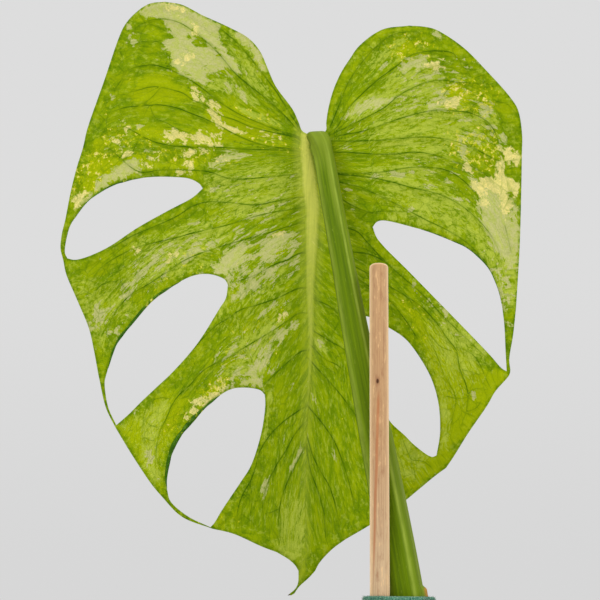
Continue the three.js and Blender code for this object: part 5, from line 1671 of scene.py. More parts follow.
        [(42.6, -32.5), (44.4, -31.6), (45.8, -33), (44.4, -34.8), (42.6, -34.4)],
        [(49, -34.8), (50.8, -33.9), (52.2, -35.3), (50.4, -36.7)],
        [(52.6, 46.6), (55.8, 47.6), (60.4, 45.7), (57.7, 44.8), (54, 44.8)],
        [(28.8, 30.2), (30.7, 32.9), (33.9, 33.8), (32.5, 31.1), (29.8, 28.8)],
        [(71, -117.2), (73.2, -116.3), (75.1, -119), (72.8, -120.9)],
        [(55.8, -76), (58.1, -75.6), (60.4, -79.2), (62.3, -83.3), (59.5, -82)],
    ],
    Shade.YELLOW: [
        [(-53.1, -120.9), (-49.4, -116.3), (-45.8, -114), (-42.1, -111.3), (-38.4, -110.8),
         (-40.3, -114.9), (-44.8, -118.1), (-48.5, -120.9)],
        [(-64.1, -141.9), (-62.2, -137.8), (-59.5, -134.1), (-57.7, -130.9), (-56.7, -130),
         (-58.6, -135.1), (-61.8, -140.1)],
    ],
}

# Drifts of flecks: middle, half length, half width, turn in degrees and strength
DRIFTS: dict[Shade, list[tuple[float, ...]]] = {
    Shade.HAZE: [
        (58, -112, 24, 16, -60, 0.8), (52, -132, 14, 16, 40, 0.9), (-30, 30, 27, 6, -52, 1),
        (-27, -25, 34, 21, 10, 1), (-61, -53, 43, 16, 28, 1), (-29, -75, 32, 23, 40, 0.8),
        (51, 3, 43, 25, 0, 1), (55, -32, 46, 16, -25, 1), (64, -98, 27, 18, -60, 1),
        (-75, -139, 27, 17, -60, 0.6), (-11, -176, 9, 23, 0, 0.9), (83, -52, 14, 43, 0, 1),
        (-98, -75, 14, 27, 70, 0.9), (30, 35, 27, 14, 40, 0.6), (44, -148, 14, 16, 0, 1),
        (7, -135, 14, 41, 0, 0.35), (-22, -135, 23, 27, 0, 0.5)
    ],
    Shade.FLECK: [
        (-29, -29, 34, 23, 15, 0.55), (-26, -58, 34, 21, 25, 0.95), (-68, -56, 34, 14, 30, 0.8),
        (-32, -105, 34, 21, 45, 0.7), (-75, -139, 23, 14, -60, 0.4), (-86, -6, 32, 16, 0, 0.4),
        (53, 21, 34, 18, 25, 0.75), (62, -20, 37, 18, -20, 0.6), (74, 3, 23, 16, 0, 0.7),
        (58, -80, 32, 12, -45, 0.55), (85, -61, 12, 41, 0, 0.8), (-98, -84, 13, 27, 75, 0.7),
        (-11, -130, 23, 41, 0, 0.3), (-57, 30, 27, 21, 0, 0.35), (21, 7, 18, 14, 30, 0.45),
        (14, -36, 14, 27, 0, 0.35), (67, -116, 18, 18, 0, 0.35), (-32, 35, 27, 7, -52, 0.4)
    ],
    Shade.YELLOW: [
        (-86, -2, 28, 13, 5, 0.75), (-92, 22, 24, 14, 60, 0.45), (-57, -10, 34, 7, -5, 0.8),
        (-102, -16, 27, 12, 60, 0.9), (-54, -122, 34, 6, 42, 0.75), (44, 40, 21, 12, 0, 0.8),
        (69, 18, 25, 14, -10, 0.9), (74, -6, 23, 16, -20, 0.95), (46, -82, 24, 11, -42, 0.6),
        (-45, -172, 16, 12, 0, 0.6), (-18, -3, 23, 6, -8, 0.8), (-24, 8, 20, 5, -25, 0.85),
        (58, -112, 18, 23, -60, 0.4), (-29, -96, 32, 18, 45, 0.6), (-61, -61, 34, 11, 32, 0.55),
        (14, -139, 12, 37, 0, 0.3), (-70, -84, 27, 7, 45, 0.5), (16, -43, 9, 27, 0, 0.3)
    ],
}

PALE_RIB: Points = [
    (-3.6, 2), (-3.9, -6.4), (-2.6, -15.6), (-1.9, -24.8), (-0.7, -33.9), (-0.9, -43.1),
    (-1.1, -52.2), (-1.7, -66), (-1.6, -79.7), (-1.4, -93.4), (-2.3, -111.7), (-3.7, -130),
    (-3.9, -143.8), (-4.3, -166.6), (-3.9, -186), (-6.9, -203.3)
]
# Half the pale rib's width, by height
PALE_RIB_WIDTHS: Points = [
    (-203, 0.3), (-167, 0.35), (-144, 0.5), (-130, 0.8), (-112, 1.2), (-93, 1.7), (-80, 2.2),
    (-66, 2.7), (-52, 3.2), (-43, 3.5), (-34, 3.8), (-25, 4.0), (-16, 3.7), (-6, 3.0), (2, 2.8)
]


@dataclass
class LeafSpace:
    """Places the flat leaf in front of the eye: right, up, and away from the joint."""

    joint: tuple[float, float, float] = (-35.6, 12.0, 380.0)
    lean_degrees: float = 15.0
    eye_distance: float = 595.0
    eye_centre: tuple[float, float] = (-6.4, -75.1)

    def place(self, right: np.ndarray, up: np.ndarray, away: np.ndarray) -> np.ndarray:
        """Move flat places to the model's frame.

        What is nearer the eye is drawn in to the line of sight, so that it is seen where it was
        laid out: centre + (place - centre) x (1 + away / eye distance).

        Args:
            right: To the right of the joint.
            up: Up the leaf plane.
            away: Behind the leaf plane.

        Returns:
            Points in millimetres.
        """
        lean = np.radians(self.lean_degrees)
        spread = 1 + np.asarray(away) / self.eye_distance
        a = self.eye_centre[0] + (right - self.eye_centre[0]) * spread
        b = self.eye_centre[1] + (up - self.eye_centre[1]) * spread
        x = self.joint[0] + a
        y = self.joint[1] - np.sin(lean) * b + np.cos(lean) * away
        z = self.joint[2] + np.cos(lean) * b + np.sin(lean) * away
        return np.stack([x, y, z], axis=-1)

    def eye(self) -> tuple[float, float, float]:
        """Find the eye, straight in front of the centre.

        Returns:
            Its place in millimetres.
        """
        spot = self.place(np.array(self.eye_centre[0]), np.array(self.eye_centre[1]), np.array(0.0))
        lean = np.radians(self.lean_degrees)
        back = np.array([0, np.cos(lean), np.sin(lean)]) * self.eye_distance
        return tuple(float(v) for v in spot - back)


@dataclass
class Blade:
    """The leaf's blade: both faces, rolled rims on the holes, midrib and variegation.

    A vein's two sizes are half its width and its darkness.
    """

    space: LeafSpace
    halves: tuple[Half, ...] = (LEFT_HALF, RIGHT_HALF)
    thickness: float = 0.9
    rim_thickness: float = 0.42
    margin_curl: float = 14.0
    length_arch: float = 10.0
    soft_wave: float = 1.5
    midrib_rows: tuple[tuple[float, int], ...] = (
        (0, 84), (0.049, 26), (0.145, 20), (0.225, 24), (0.334, 22), (0.438, 26), (0.585, 8),
        (0.63, 44))
    vein_cells: int = 22
    edge_cells: int = 56
    closing_cells: int = 3
    tip_rows: int = 10
    thread_rows: int = 30
    rib_height_share: float = 0.4
    main_vein: tuple[float, float] = (0.17, 1.0)
    cross_vein: tuple[float, float] = (0.08, 0.7)
    vein_relief: float = 0.04
    pillow: float = 0.3
    vein_spacing: float = 9.0
    side_shift: float = 40.0
    thread_counts: tuple[float, float] = (0.3, 0.7)
    far_outside: float = -30.0
    tip: tuple[float, float] = (-12.1, -210.3)

    def vein_shares(self) -> np.ndarray:
        """Give steps along the vein that are finer beside the midrib."""
        return np.linspace(0, 1, self.vein_cells + 1) ** 1.6

    def midrib_nodes(self) -> np.ndarray:
        """Share the midrib among rows, the same for both halves.

        Returns:
            The shares of the midrib where rows start, and its end.
        """
        starts = np.array([root for root, _ in self.midrib_rows] + [1.0])
        steps = [np.linspace(starts[k], starts[k + 1], rows, endpoint=False)
                 for k, (_, rows) in enumerate(self.midrib_rows)]
        return np.concatenate([*steps, [1.0]])

    def slit(self, root: float, vein: Points, edge: Points, end: tuple[float, float]) -> np.ndarray:
        """Join a vein, one edge of the hole and the closing step into one line.

        Args:
            root: Share of the midrib where the vein starts.
            vein: Points of the vein.
            edge: Points of the hole's edge.
            end: Point on the margin.

        Returns:
            The line, with the same number of points for every hole.
        """
        start = along(MIDRIB, np.array([root]))
        first = along(np.vstack([start, vein]), self.vein_shares())
        rim = along(np.array(edge), eased_ends(self.edge_cells))[1:]
        steps = np.linspace(0, 1, self.closing_cells + 1)[1:, None]
        return np.vstack([first, rim, rim[-1] + steps * (np.array(end) - rim[-1])])

    def field_between(self, upper: np.ndarray, lower: np.ndarray, inner: np.ndarray,
                      outer: np.ndarray) -> np.ndarray:
        """Fill between four lines: across + along - the bilinear blend of the corners.

        Args:
            upper: Upper line, from midrib to margin.
            lower: Lower line, from midrib to margin.
            inner: Line down the midrib.
            outer: Line down the margin.

        Returns:
            Points as (row, column, 2).
        """
        s = np.linspace(0, 1, len(inner))[:, None, None]
        t = ((shares_of(upper) + shares_of(lower)) / 2)[None, :, None]
        above, below = (1 - t) * upper[0] + t * upper[-1], (1 - t) * lower[0] + t * lower[-1]
        corners = (1 - s) * above + s * below
        return (1 - s) * upper + s * lower + (1 - t) * inner[:, None] + t * outer[:, None] - corners

    def field_below(self, guide: np.ndarray, inner: np.ndarray, outer: np.ndarray,
                    bent: int) -> np.ndarray:
        """Fill from a guide vein to the tip: straight rungs, plus the guide's bend dying away.

        Args:
            guide: The guide vein.
            inner: Line down the midrib.
            outer: Line down the margin.
            bent: Rows over which the bend dies away.

        Returns:
            Points as (row, column, 2).
        """
        t = shares_of(guide)[None, :, None]
        bend = guide - (1 - t[0]) * guide[0] - t[0] * guide[-1]
        fade = np.clip(1 - np.arange(len(inner)) / bent, 0, 1)[:, None, None]
        return (1 - t) * inner[:, None] + t * outer[:, None] + fade * bend

    def half_fields(self, half: Half) -> list[tuple[np.ndarray, float, float]]:
        """Lay out every field of one half.

        Args:
            half: The half's outline.

        Returns:
            For each field its points as (row, column, 2) and the vein counts at its two sides.
        """
        nodes = self.midrib_nodes()
        uppers = [self.slit(h.at, h.vein, h.upper, h.thread_outer[0]) for h in half.holes]
        lowers = [self.slit(h.at, h.vein, h.lower, h.thread_outer[-1]) for h in half.holes]
        start = along(MIDRIB, np.array([half.guide_at]))
        guide = along(np.vstack([start, half.guide]), shares_of(lowers[-1]))
        tops = [along(np.array(half.sinus), shares_of(uppers[0])), *lowers]
        roots = [0.0, *(h.at for h in half.holes), half.guide_at, 1.0]
        fields = []
        count = 0.0
        for k, (top, bottom) in enumerate(zip(tops, [*uppers, guide])):
            part = nodes[(nodes >= roots[k]) & (nodes <= roots[k + 1])]
            inner = along(MIDRIB, part)
            outer = along(np.array(half.margins[k]), np.linspace(0, 1, len(part)))
            fields.append((self.field_between(top, bottom, inner, outer), count,
                           count + half.veins[k]))
            count += half.veins[k]
        part = nodes[nodes >= half.guide_at]
        inner = np.vstack([along(MIDRIB, part),
                           along(MIDRIB_TIP, np.linspace(0, 1, self.tip_rows + 1))[1:]])
        outer = np.vstack([along(np.array(half.margins[-1]), np.linspace(0, 1, len(part))),
                           along(np.array(half.tip), np.linspace(0, 1, self.tip_rows + 1))[1:]])
        fields.append((self.field_below(guide, inner, outer, len(part) - 1), count,
                       count + half.veins[-1]))
        for hole in half.holes:
            if hole.thread_inner:
                fields.append(self.thread(hole))
        return fields

    def thread(self, hole: Hole) -> tuple[np.ndarray, float, float]:
        """Lay out the thread that closes a hole, as rungs between its two edges.

        Args:
            hole: The hole.

        Returns:
            Its points as (row, column, 2) and the vein counts at its two sides, for its own streaks.
        """
        shares = np.linspace(0, 1, self.thread_rows + 1)
        inner = along(np.array(hole.thread_inner), shares)[:, None]
        outer = along(np.array(hole.thread_outer), shares)[:, None]
        t = np.linspace(0, 1, self.closing_cells + 1)[None, :, None]
        return (1 - t) * inner + t * outer, *self.thread_counts

    def flat_values(self, points: np.ndarray, first: float, last: float, side: Side) -> np.ndarray:
        """Measure where each point lies in the flow of the veins.

        Args:
            points: Points as (row, column, 2).
            first: Vein count at the first row.
            last: Vein count at the last row.
            side: The half that the field is on.

        Returns:
            Values as (row, column, 3): length along, width across, and a number for the side.
        """
        rows = len(points)
        steps = np.linalg.norm(np.diff(points, axis=1), axis=2)
        run = np.concatenate([np.zeros((rows, 1)), np.cumsum(steps, axis=1)], axis=1)
        count = first + (last - first) * np.linspace(0, 1, rows)[:, None]
        return triples(run.shape, run, count * self.vein_spacing, side.value * self.side_shift)

    def depth(self, right: np.ndarray, up: np.ndarray) -> np.ndarray:
        """Tell how far the blade's middle layer lies behind the leaf plane.

        Margins curl toward the eye with the square of the distance from the midrib, the blade
        arches along its length, and a soft wave runs over it.

        Args:
            right: To the right of the joint.
            up: Up the leaf plane.

        Returns:
            The depth.
        """
        wave = np.sin(right / 17 + 0.6) * np.sin(up / 23 - 0.4) * np.minimum(1, np.abs(right) / 45)
        curl = self.margin_curl * (right / 100) ** 2
        arch = self.length_arch * ((up + 60) / 140) ** 2
        return self.soft_wave * wave - curl - arch

    def soften(self, values: np.ndarray, quads: np.ndarray, passes: int = 70) -> np.ndarray:
        """Move each value half way to the mean of its neighbours, again and again.

        Args:
            values: Values at the points.
            quads: Faces whose sides join neighbours.
            passes: Number of times.

        Returns:
            The smoothed values.
        """
        ends = quads.ravel(), np.roll(quads, -1, axis=1).ravel()
        a, b = np.concatenate(ends), np.concatenate(ends[::-1])
        count = np.bincount(a, minlength=len(values))
        for _ in range(passes):
            total = np.stack([np.bincount(a, column, len(values)) for column in values[b].T],
                             axis=1)
            values = 0.5 * values + 0.5 * total / count[:, None]
        return values

    def lay_out(self) -> tuple[np.ndarray, np.ndarray, np.ndarray]:
        """Join all fields into one flat mesh with shared points.

        Returns:
            Flat points, their flow, and quads that turn anticlockwise as the eye sees them.
        """
        halves = []
        for half in self.halves:
            fields = self.half_fields(half)
            shifts = np.cumsum([0] + [grid.shape[0] * grid.shape[1] for grid, _, _ in fields])
            points = np.vstack([grid.reshape(-1, 2) for grid, _, _ in fields])
            values = np.vstack([self.flat_values(*part, half.side).reshape(-1, 3) for part in fields])
            quads = np.vstack([grid_quads(*part[0].shape[:2], loop_columns=False) + shift
                               for part, shift in zip(fields, shifts)])
            first, same = merged(points)
            halves.append((points[first], self.soften(values[first], same[quads]), same[quads]))
        (left, left_flow, left_quads), (right, right_flow, right_quads) = halves
        points, values = np.vstack([left, right]), np.vstack([left_flow, right_flow])
        first, same = merged(points)
        points, values = points[first], values[first]
        quads = same[np.vstack([left_quads, right_quads + len(left)])]
        corner = points[quads]
        area = ((corner[:, 2, 0] - corner[:, 0, 0]) * (corner[:, 3, 1] - corner[:, 1, 1])
                - (corner[:, 3, 0] - corner[:, 1, 0]) * (corner[:, 2, 1] - corner[:, 0, 1]))
        quads[area < 0] = quads[area < 0][:, ::-1]
        return points, values, quads

    def vein_values(self, flat: np.ndarray) -> np.ndarray:
        """Measure the signed distance to the nearest vein, half its width, and its darkness.

        The sign tells the side of the vein, so that a line drawn at 0 stays sharp between points.

        Args:
            flat: Places on the flat blade.

        Returns:
            The three values at each place.
        """
        spots, ways, widths, darks = [], [], [], []
        for veins, (width, dark) in ((MAIN_VEINS, self.main_vein), (CROSS_VEINS, self.cross_vein)):
            for vein in veins:
                line = spline(vein, 40)
                share = shares_of(line)
                spots.append(line)
                ways.append(unit(np.gradient(line, axis=0)))
                widths.append(width * (1 - 0.6 * share))
                darks.append(dark * smooth(1.03, 0.8, share) * smooth(-0.05, 0.06, share))
        spots, ways = np.vstack(spots), np.vstack(ways)
        distance, at = nearest(flat, spots)
        offset = flat - spots[at]
        side = ways[at, 0] * offset[:, 1] - ways[at, 1] * offset[:, 0]
        signed = np.where(side < 0, -1.0, 1.0) * distance
        return np.stack([signed, np.concatenate(widths)[at], np.concatenate(darks)[at]], axis=1)

    def outlined(self, flat: np.ndarray) -> Iterator[tuple[Shade, np.ndarray, np.ndarray]]:
        """Go through the patches.

        Args:
            flat: Places on the flat blade.

        Yields:
            The patch's shade, the places near it, and how far they lie inside its outline.
        """
        margin = 12
        for shade, outlines in PATCHES.items():
            for outline in outlines:
                low, high = np.min(outline, axis=0) - margin, np.max(outline, axis=0) + margin
                near = np.nonzero(((flat > low) & (flat < high)).all(axis=1))[0]
                yield shade, near, inside_by(flat[near], outline)

    def patch_values(self, flat: np.ndarray) -> np.ndarray:
        """Measure how far each point lies inside the mint, cream and lime patches, less their gaps.

        Args:
            flat: Places on the flat blade.

        Returns:
            The three distances at each place.
        """
        tone = np.full((len(flat), 3), self.far_outside)
        for shade, near, depth in self.outlined(flat):
            if shade is Shade.GAP:
                tone[near, :2] = np.minimum(tone[near, :2], -depth[:, None])
            elif shade.value < 3:
                tone[near, shade.value] = np.maximum(tone[near, shade.value], depth)
        return tone

    def drift_values(self, flat: np.ndarray) -> np.ndarray:
        """Set the density of haze, flecks and yellow dots.

        Each drift is a mound, and the outlines of these shades are filled.

        Args:
            flat: Places on the flat blade.

        Returns:
            The three densities at each place.
        """
        density = np.zeros((len(flat), 3))
        columns = {Shade.HAZE: 0, Shade.FLECK: 1, Shade.YELLOW: 2}
        most = {Shade.HAZE: 1.05, Shade.FLECK: 1.2, Shade.YELLOW: 1.2}
        for shade, column in columns.items():
            for right, up, length, width, turn, strength in DRIFTS[shade]:
                angle = np.radians(turn)
                x, y = flat[:, 0] - right, flat[:, 1] - up
                lengthwise = (x * np.cos(angle) + y * np.sin(angle)) / length
                across = (y * np.cos(angle) - x * np.sin(angle)) / width
                mound = strength * smooth(1.15, 0.35, np.hypot(lengthwise, across))
                density[:, column] = np.maximum(density[:, column], mound)
        for shade, near, depth in self.outlined(flat):
            if shade in columns:
                fill = most[shade] * smooth(-2.4, 1.2, depth)
                density[near, columns[shade]] = np.maximum(density[near, columns[shade]], fill)
        return density

    def border(self, quads: np.ndarray, triangles: np.ndarray, count: int) -> np.ndarray:
        """Find the directed edges that only one face has.

        Args:
            quads: Quads.
            triangles: Triangles.
            count: Number of points.

        Returns:
            The border edges as pairs.
        """
        edges = np.vstack([np.stack([f[:, k], f[:, (k + 1) % f.shape[1]]], axis=1)
                           for f in (quads, triangles) for k in range(f.shape[1])])
        ahead = edges[:, 0].astype(np.int64) * count + edges[:, 1]
        back = edges[:, 1].astype(np.int64) * count + edges[:, 0]
        return edges[~np.isin(ahead, back)]

    def skin(self) -> Skin:
        """Work out both faces of the blade, the walls round it, and what the finishes read.

        Returns:
            The skin. Material 0 is the underside, 1 the upper side.
        """
        flat, values, faces = self.lay_out()
        quads, triangles = parted(faces)
        rim = self.border(quads, triangles, len(flat))
        edge, _ = nearest(flat, flat[np.unique(rim)])
        line = along(PALE_RIB, np.linspace(0, 1, 500))
        rib, at = nearest(flat, line)
        widths = np.array(PALE_RIB_WIDTHS)
        half_width = np.interp(line[at, 1], widths[:, 0], widths[:, 1])
        rounding = np.sqrt(np.clip(1 - (rib / half_width) ** 2, 0, 1))
        ridge = self.rib_height_share * half_width * rounding
        vein = self.vein_values(flat)
        raised = self.vein_relief * vein[:, 2] * bell(vein[:, 0], 0.7)
        sunk = self.pillow * smooth(0, 4, np.abs(vein[:, 0])) * smooth(0, 6, edge) * smooth(0, 12, rib)
        ripple = 0.2 * lattice_noise(flat[:, 0], flat[:, 1], 9.0, 5) * smooth(0, 4, edge)
        depth = self.depth(flat[:, 0], flat[:, 1]) + sunk + ripple
        thicker = (self.thickness - self.rim_thickness) / 2
        half = self.rim_thickness / 2 + thicker * smooth(0, 1.6, edge)
        near = self.space.place(flat[:, 0], flat[:, 1], depth - half - ridge - raised)
        far = self.space.place(flat[:, 0], flat[:, 1], depth + half + 0.25 * ridge - 0.5 * raised)
        n = len(flat)
        walls = np.stack([rim[:, 1], rim[:, 0], rim[:, 0] + n, rim[:, 1] + n], axis=1)
        fade = 0.1 * smooth(-30, -80, flat[:, 1]) + 0.5 * smooth(-95, -150, flat[:, 1])
        dried = 2.0 * smooth(3.2, 0.6, np.hypot(flat[:, 0] - self.tip[0], flat[:, 1] - self.tip[1]))
        sided = {
            "flow": values,
            "patches": self.patch_values(flat),
            "drifts": self.drift_values(flat),
            "vein": vein,
            "place": np.stack([rib - half_width + fade, edge, dried], axis=1),
        }
        return Skin(
            np.vstack([near, far]),
            np.vstack([quads, quads[:, ::-1] + n, walls]),
            np.vstack([triangles, triangles[:, ::-1] + n]),
            {name: np.vstack([value, value]) for name, value in sided.items()},
            np.repeat([0, 1, 0], [len(quads), len(quads), len(walls)]),
            np.repeat([0, 1], len(triangles)),
        )

    def lip(self, hole: Hole, seed: int) -> Skin:
        """Roll a rim toward the eye along the outer part of a hole's upper edge.

        A round cord whose radius swells and thins as the square root of a sine, with a slow
        wobble, half sunk in the blade's edge.

        Args:
            hole: The hole, with its lip's start, end and radius.
            seed: Seed of the wobble.

        Returns:
            The closed skin, all of it the leaf's upper side.
        """
        start, end, radius = hole.lip
        steps, sides = 120, 12
        u = np.linspace(0, 1, steps + 1)
        edge = along(np.array(hole.upper), start + (end - start) * u)
        wobble = 1 + 0.35 * lattice_noise(u * 90, 0.0, 7.0, seed)
        size = radius * np.sqrt(np.sin(np.pi * np.clip(u, 0.004, 0.996))) * wobble
        heading = unit(np.gradient(edge, axis=0))
        inward = np.stack([heading[:, 1], -heading[:, 0]], axis=1) * np.sign(edge[-1, 0])
        angles = full_turn(sides)
        across = size[:, None] * np.cos(angles)[None]
        toward = size[:, None] * (0.35 + 0.8 * np.sin(angles)[None])
        place = edge[:, None] - inward[:, None] * (across + 0.15 * size[:, None])[..., None]
        depth = self.depth(edge[:, 0], edge[:, 1])[:, None] - toward
        rings = self.space.place(place[..., 0], place[..., 1], depth)
        lengths = np.cumsum(np.linalg.norm(np.gradient(edge, axis=0), axis=1))
        shape = rings.shape[:2]
        far = self.far_outside
        marbled = (0.2 + 0.8 * bell(u - 0.25, 0.16))[:, None]
        skin = closed_tube(rings, {
            "flow": triples(shape, lengths[:, None], angles * 0.8 + seed * 30, 90.0),
            "patches": triples(shape, far, far, far),
            "drifts": triples(shape, 0.3, 0.2, marbled),
            "vein": triples(shape, 20, 0.1, 0),
            "place": triples(shape, 60, 60, 0),
        })
        if edge[-1, 0] > 0:
            skin.quads = skin.quads[:, ::-1]
            skin.triangles = skin.triangles[:, ::-1]
        skin.quad_material += 1
        skin.triangle_material += 1
        return skin

    def build(self) -> bpy.types.Object:
        """Make the blade's object.

        Returns:
            The blade.
        """
        skin = self.skin()
        lipped = [hole for half in self.halves for hole in half.holes if hole.lip]
        for seed, hole in enumerate(lipped, 20):
            skin = skin.joined(self.lip(hole, seed))
        under = LeafFinish(
            name="Leaf underside",
            green=srgb(142, 164, 0), deep=srgb(98, 132, 0), lime=srgb(166, 180, 0),
            haze=srgb(184, 196, 72), mint=srgb(197, 194, 131), yellow=srgb(206, 202, 12),
            cream=srgb(241, 224, 140), vein=srgb(150, 182, 70),
            rib=srgb(221, 222, 100), rib_strength=0.95,
            roughness=0.55, shine=0.04, light_through=0.22,
        )
        upper = LeafFinish(
            name="Leaf upper side",
            green=srgb(58, 100, 4), deep=srgb(38, 78, 2), lime=srgb(112, 146, 12),
            haze=srgb(104, 140, 50), mint=srgb(176, 190, 122), yellow=srgb(184, 188, 30),
            cream=srgb(228, 218, 120), vein=srgb(160, 170, 120),
            rib=srgb(120, 150, 60), rib_strength=0.6,
            roughness=0.45, shine=0.08, light_through=0.12,
        )
        return skin.build("leaf_blade_dressed", [under.make(), upper.make()], "leaf_blade", "leaf")


@dataclass
class Petiole:
    """The leaf's stalk, from the bend behind the blade's joint down to the stem."""

    space: LeafSpace
    in_view: tuple[tuple[float, float, float], ...] = (
        (0.3, -2.4, -2.4), (1.5, -2.8, -4.8), (3, -4.9, -7.8), (4.5, -9.8, -9.6),
        (7.3, -25.2, -14.1), (13.5, -59.5, -24.4), (19.3, -91.1, -33), (28.1, -136.4, -44.4),
        (33, -162, -51), (40.9, -205.5, -62.6))
    foot: tuple[tuple[float, float, float], ...] = (
        (3.4, 1.4, 154), (5.9, 1.9, 132), (7.6, 2.7, 114), (8.1, 3, 106))
    radii: tuple[float, ...] = (4.3, 5, 4.8, 4.7, 4.8, 5.1, 5.8, 7, 7.4, 7.8, 8.1, 8.6, 9.6, 9.2)
    steps: int = 420
    sides: int = 96
    channel_depth: float = 0.2
    channel_width: float = 0.55
    channel_turn: float = -0.18
    ridge_angle: float = 0.98
    ridge_width: float = 0.15
    ridge_height: float = 0.055
    corner_turn: float = 0.38
    sheath_top: float = 184.0
    sheath_full: float = 150.0
    sheath_height: float = 0.26

    def path(self) -> Path:
        """Carry frames from the stem up to the blade.

        Returns:
            The petiole's path.
        """
        upper = np.array(self.in_view)
        points = np.vstack([self.space.place(upper[:, 0], upper[:, 1], upper[:, 2]), self.foot])
        return Path.through(points[::-1], self.steps)

    def radius_along(self, path: Path) -> np.ndarray:
        """Give the radius at each station of the path, whose radii are listed from the blade down."""
        return read_at(len(self.radii) - 1 - path.places, self.radii)

    def build(self) -> bpy.types.Object:
        """Sweep the section: a circle, less a bell for the channel, plus two narrow bells as ridges.

        Returns:
            The petiole.
        """
        path = self.path()
        angles = full_turn(self.sides)
        radius = self.radius_along(path)[:, None]
        height = path.points[:, 2:3]
        joint = self.space.joint[2]
        facing = (angles - self.channel_turn + np.pi) % FULL_TURN - np.pi
        sheath = smooth(0, self.sheath_top - self.sheath_full, self.sheath_top - height)
        below = smooth(0, 12, joint - 6 - height)
        ridge = self.ridge_height + (self.sheath_height - self.ridge_height) * sheath
        off_ridge = np.abs(np.abs(facing) - self.ridge_angle)[None]
        channel = self.channel_depth * bell(facing, self.channel_width)[None]
        wave = 1 + 0.18 * sheath * lattice_noise(height, 0.0, 5.0, 3)
        share = 1 + below * (ridge * wave * bell(off_ridge, self.ridge_width + 0.05 * sheath)
                             - channel)
        scar = smooth(177.5, 175.5, height) * bell(facing[None] - 1.5, 0.35)
        narrowed = smooth(10.7, 12.2, path.places)[:, None] * bell(facing[None] + 1.39, 0.6)
        share = share + 0.19 * scar - 0.45 * narrowed
        bend = smooth(26, 2, joint - height)
        corners = 2 + 3.5 * smooth(14, 5, joint + 3 - height)
        turned = angles - self.corner_turn
        square = (np.abs(np.cos(turned)) ** corners
                  + np.abs(np.sin(turned)) ** corners) ** (-1 / corners)
        rings = path.rings(angles, radius * share * square)
        around = facing[None] * radius
        # Pale lines along the two ridges: partly their paler skin, partly painted highlight
        left = bell(facing[None] + 0.92, 0.27) * (0.25 + 0.3 * below)
        right = bell(facing[None] - 0.66, 0.1) * (0.2 + 0.5 * below)
        # Painted highlight: a sheen down the middle of the upper petiole
        upper = smooth(joint - 60, joint - 25, height)
        sheen = 0.8 * upper * bell(facing[None] - 0.42, 0.22)
        # Painted light: the right face, which turns from the lamps, is lightened
        face = 0.75 * below * bell(facing[None] - 1.3, 0.42)
        # The bend's duller tone, joined with the painted sheen and the painted light on the right face
        dull = np.maximum(np.maximum(bend * 0.8, face), sheen)
        skin = closed_tube(rings, {
            "stalk": triples(around.shape, around, height, 0),
            "tint": triples(around.shape, np.maximum(left, right), dull, scar),
        })
        return skin.build("petiole_dressed", [StalkFinish().make()], "petiole", "petiole")


@dataclass
class Stem:
    """The short stem with node rings and a bud, and its one root in the air."""

    path_points: tuple[tuple[float, float, float], ...] = (
        (9.5, -6, 80), (9.5, -6, 98), (9.3, -6.2, 112), (8.8, -6.8, 120), (7.8, -7.6, 128),
        (6.3, -8.1, 138), (5, -8.3, 148))
    radii: tuple[float, ...] = (8.6, 8.8, 9.2, 7.4, 4.9, 3.4, 0.7)
    nodes: tuple[float, ...] = (103.5, 113.0)
    node_swell: float = 0.9
    node_spread: float = 1.5
    root_points: tuple[tuple[float, float, float], ...] = (
        (14.5, -9, 111), (21, -13, 112.5), (26.5, -16.5, 108), (29.5, -18.5, 99), (30.5, -19, 84))
    root_radii: tuple[float, ...] = (3, 2.8, 2.5, 2.2, 1.9)

    def trunk(self) -> Skin:
        """Sweep the stem: a radius along the path, a bell at each node, and bark noise.

        Returns:
            The closed skin.
        """
        steps, sides = 220, 72
        path = Path.through(np.array(self.path_points), steps)
        angles = full_turn(sides)
        radius = read_at(path.places, self.radii)[:, None]
        height = path.points[:, 2:3]
        tilt = 0.8 * np.cos(angles)[None]
        swell = sum(bell(height - node + tilt, self.node_spread) for node in self.nodes)
        groove = sum(bell(height - node + tilt - 2.2, 0.5) for node in self.nodes)
        bark = 0.18 * lattice_noise(angles * 9, height, 2.2, 8)
        crease = bell((angles[None] - 0.5) % FULL_TURN - np.pi, 0.25)
        fold = 0.35 * crease * smooth(120, 126, height)
        rings = path.rings(angles, radius + self.node_swell * swell - 0.35 * groove + bark - fold)
        scar = np.clip(0.75 * groove + 0.25 * swell, 0, 1)
        return closed_tube(rings, {"bark": triples(scar.shape, scar, smooth(101, 96, height), 0)})

    def root(self) -> Skin:
        """Sweep the root: a radius along the path, roughened, with a swollen start.

        Returns:
            The closed skin.
        """
        steps, sides = 120, 28
        path = Path.through(np.array(self.root_points), steps)
        angles = full_turn(sides)
        radius = read_at(path.places, self.root_radii)[:, None]
        u = np.linspace(0, 1, steps + 1)[:, None]
        rings = path.rings(angles, radius + 0.16 * lattice_noise(angles * 4, u * 45, 1.4, 9))
        brown = smooth(0.0, 0.25, u) * 0.95
        return closed_tube(rings, {"bark": triples(rings.shape[:2], 0, brown, 0)})

    def build(self) -> bpy.types.Object:
        """Make the stem with its root.

        Returns:
            The stem.
        """
        skin = self.trunk().joined(self.root())
        return skin.build("stem_dressed", [StemFinish().make()], "stem", "stem")


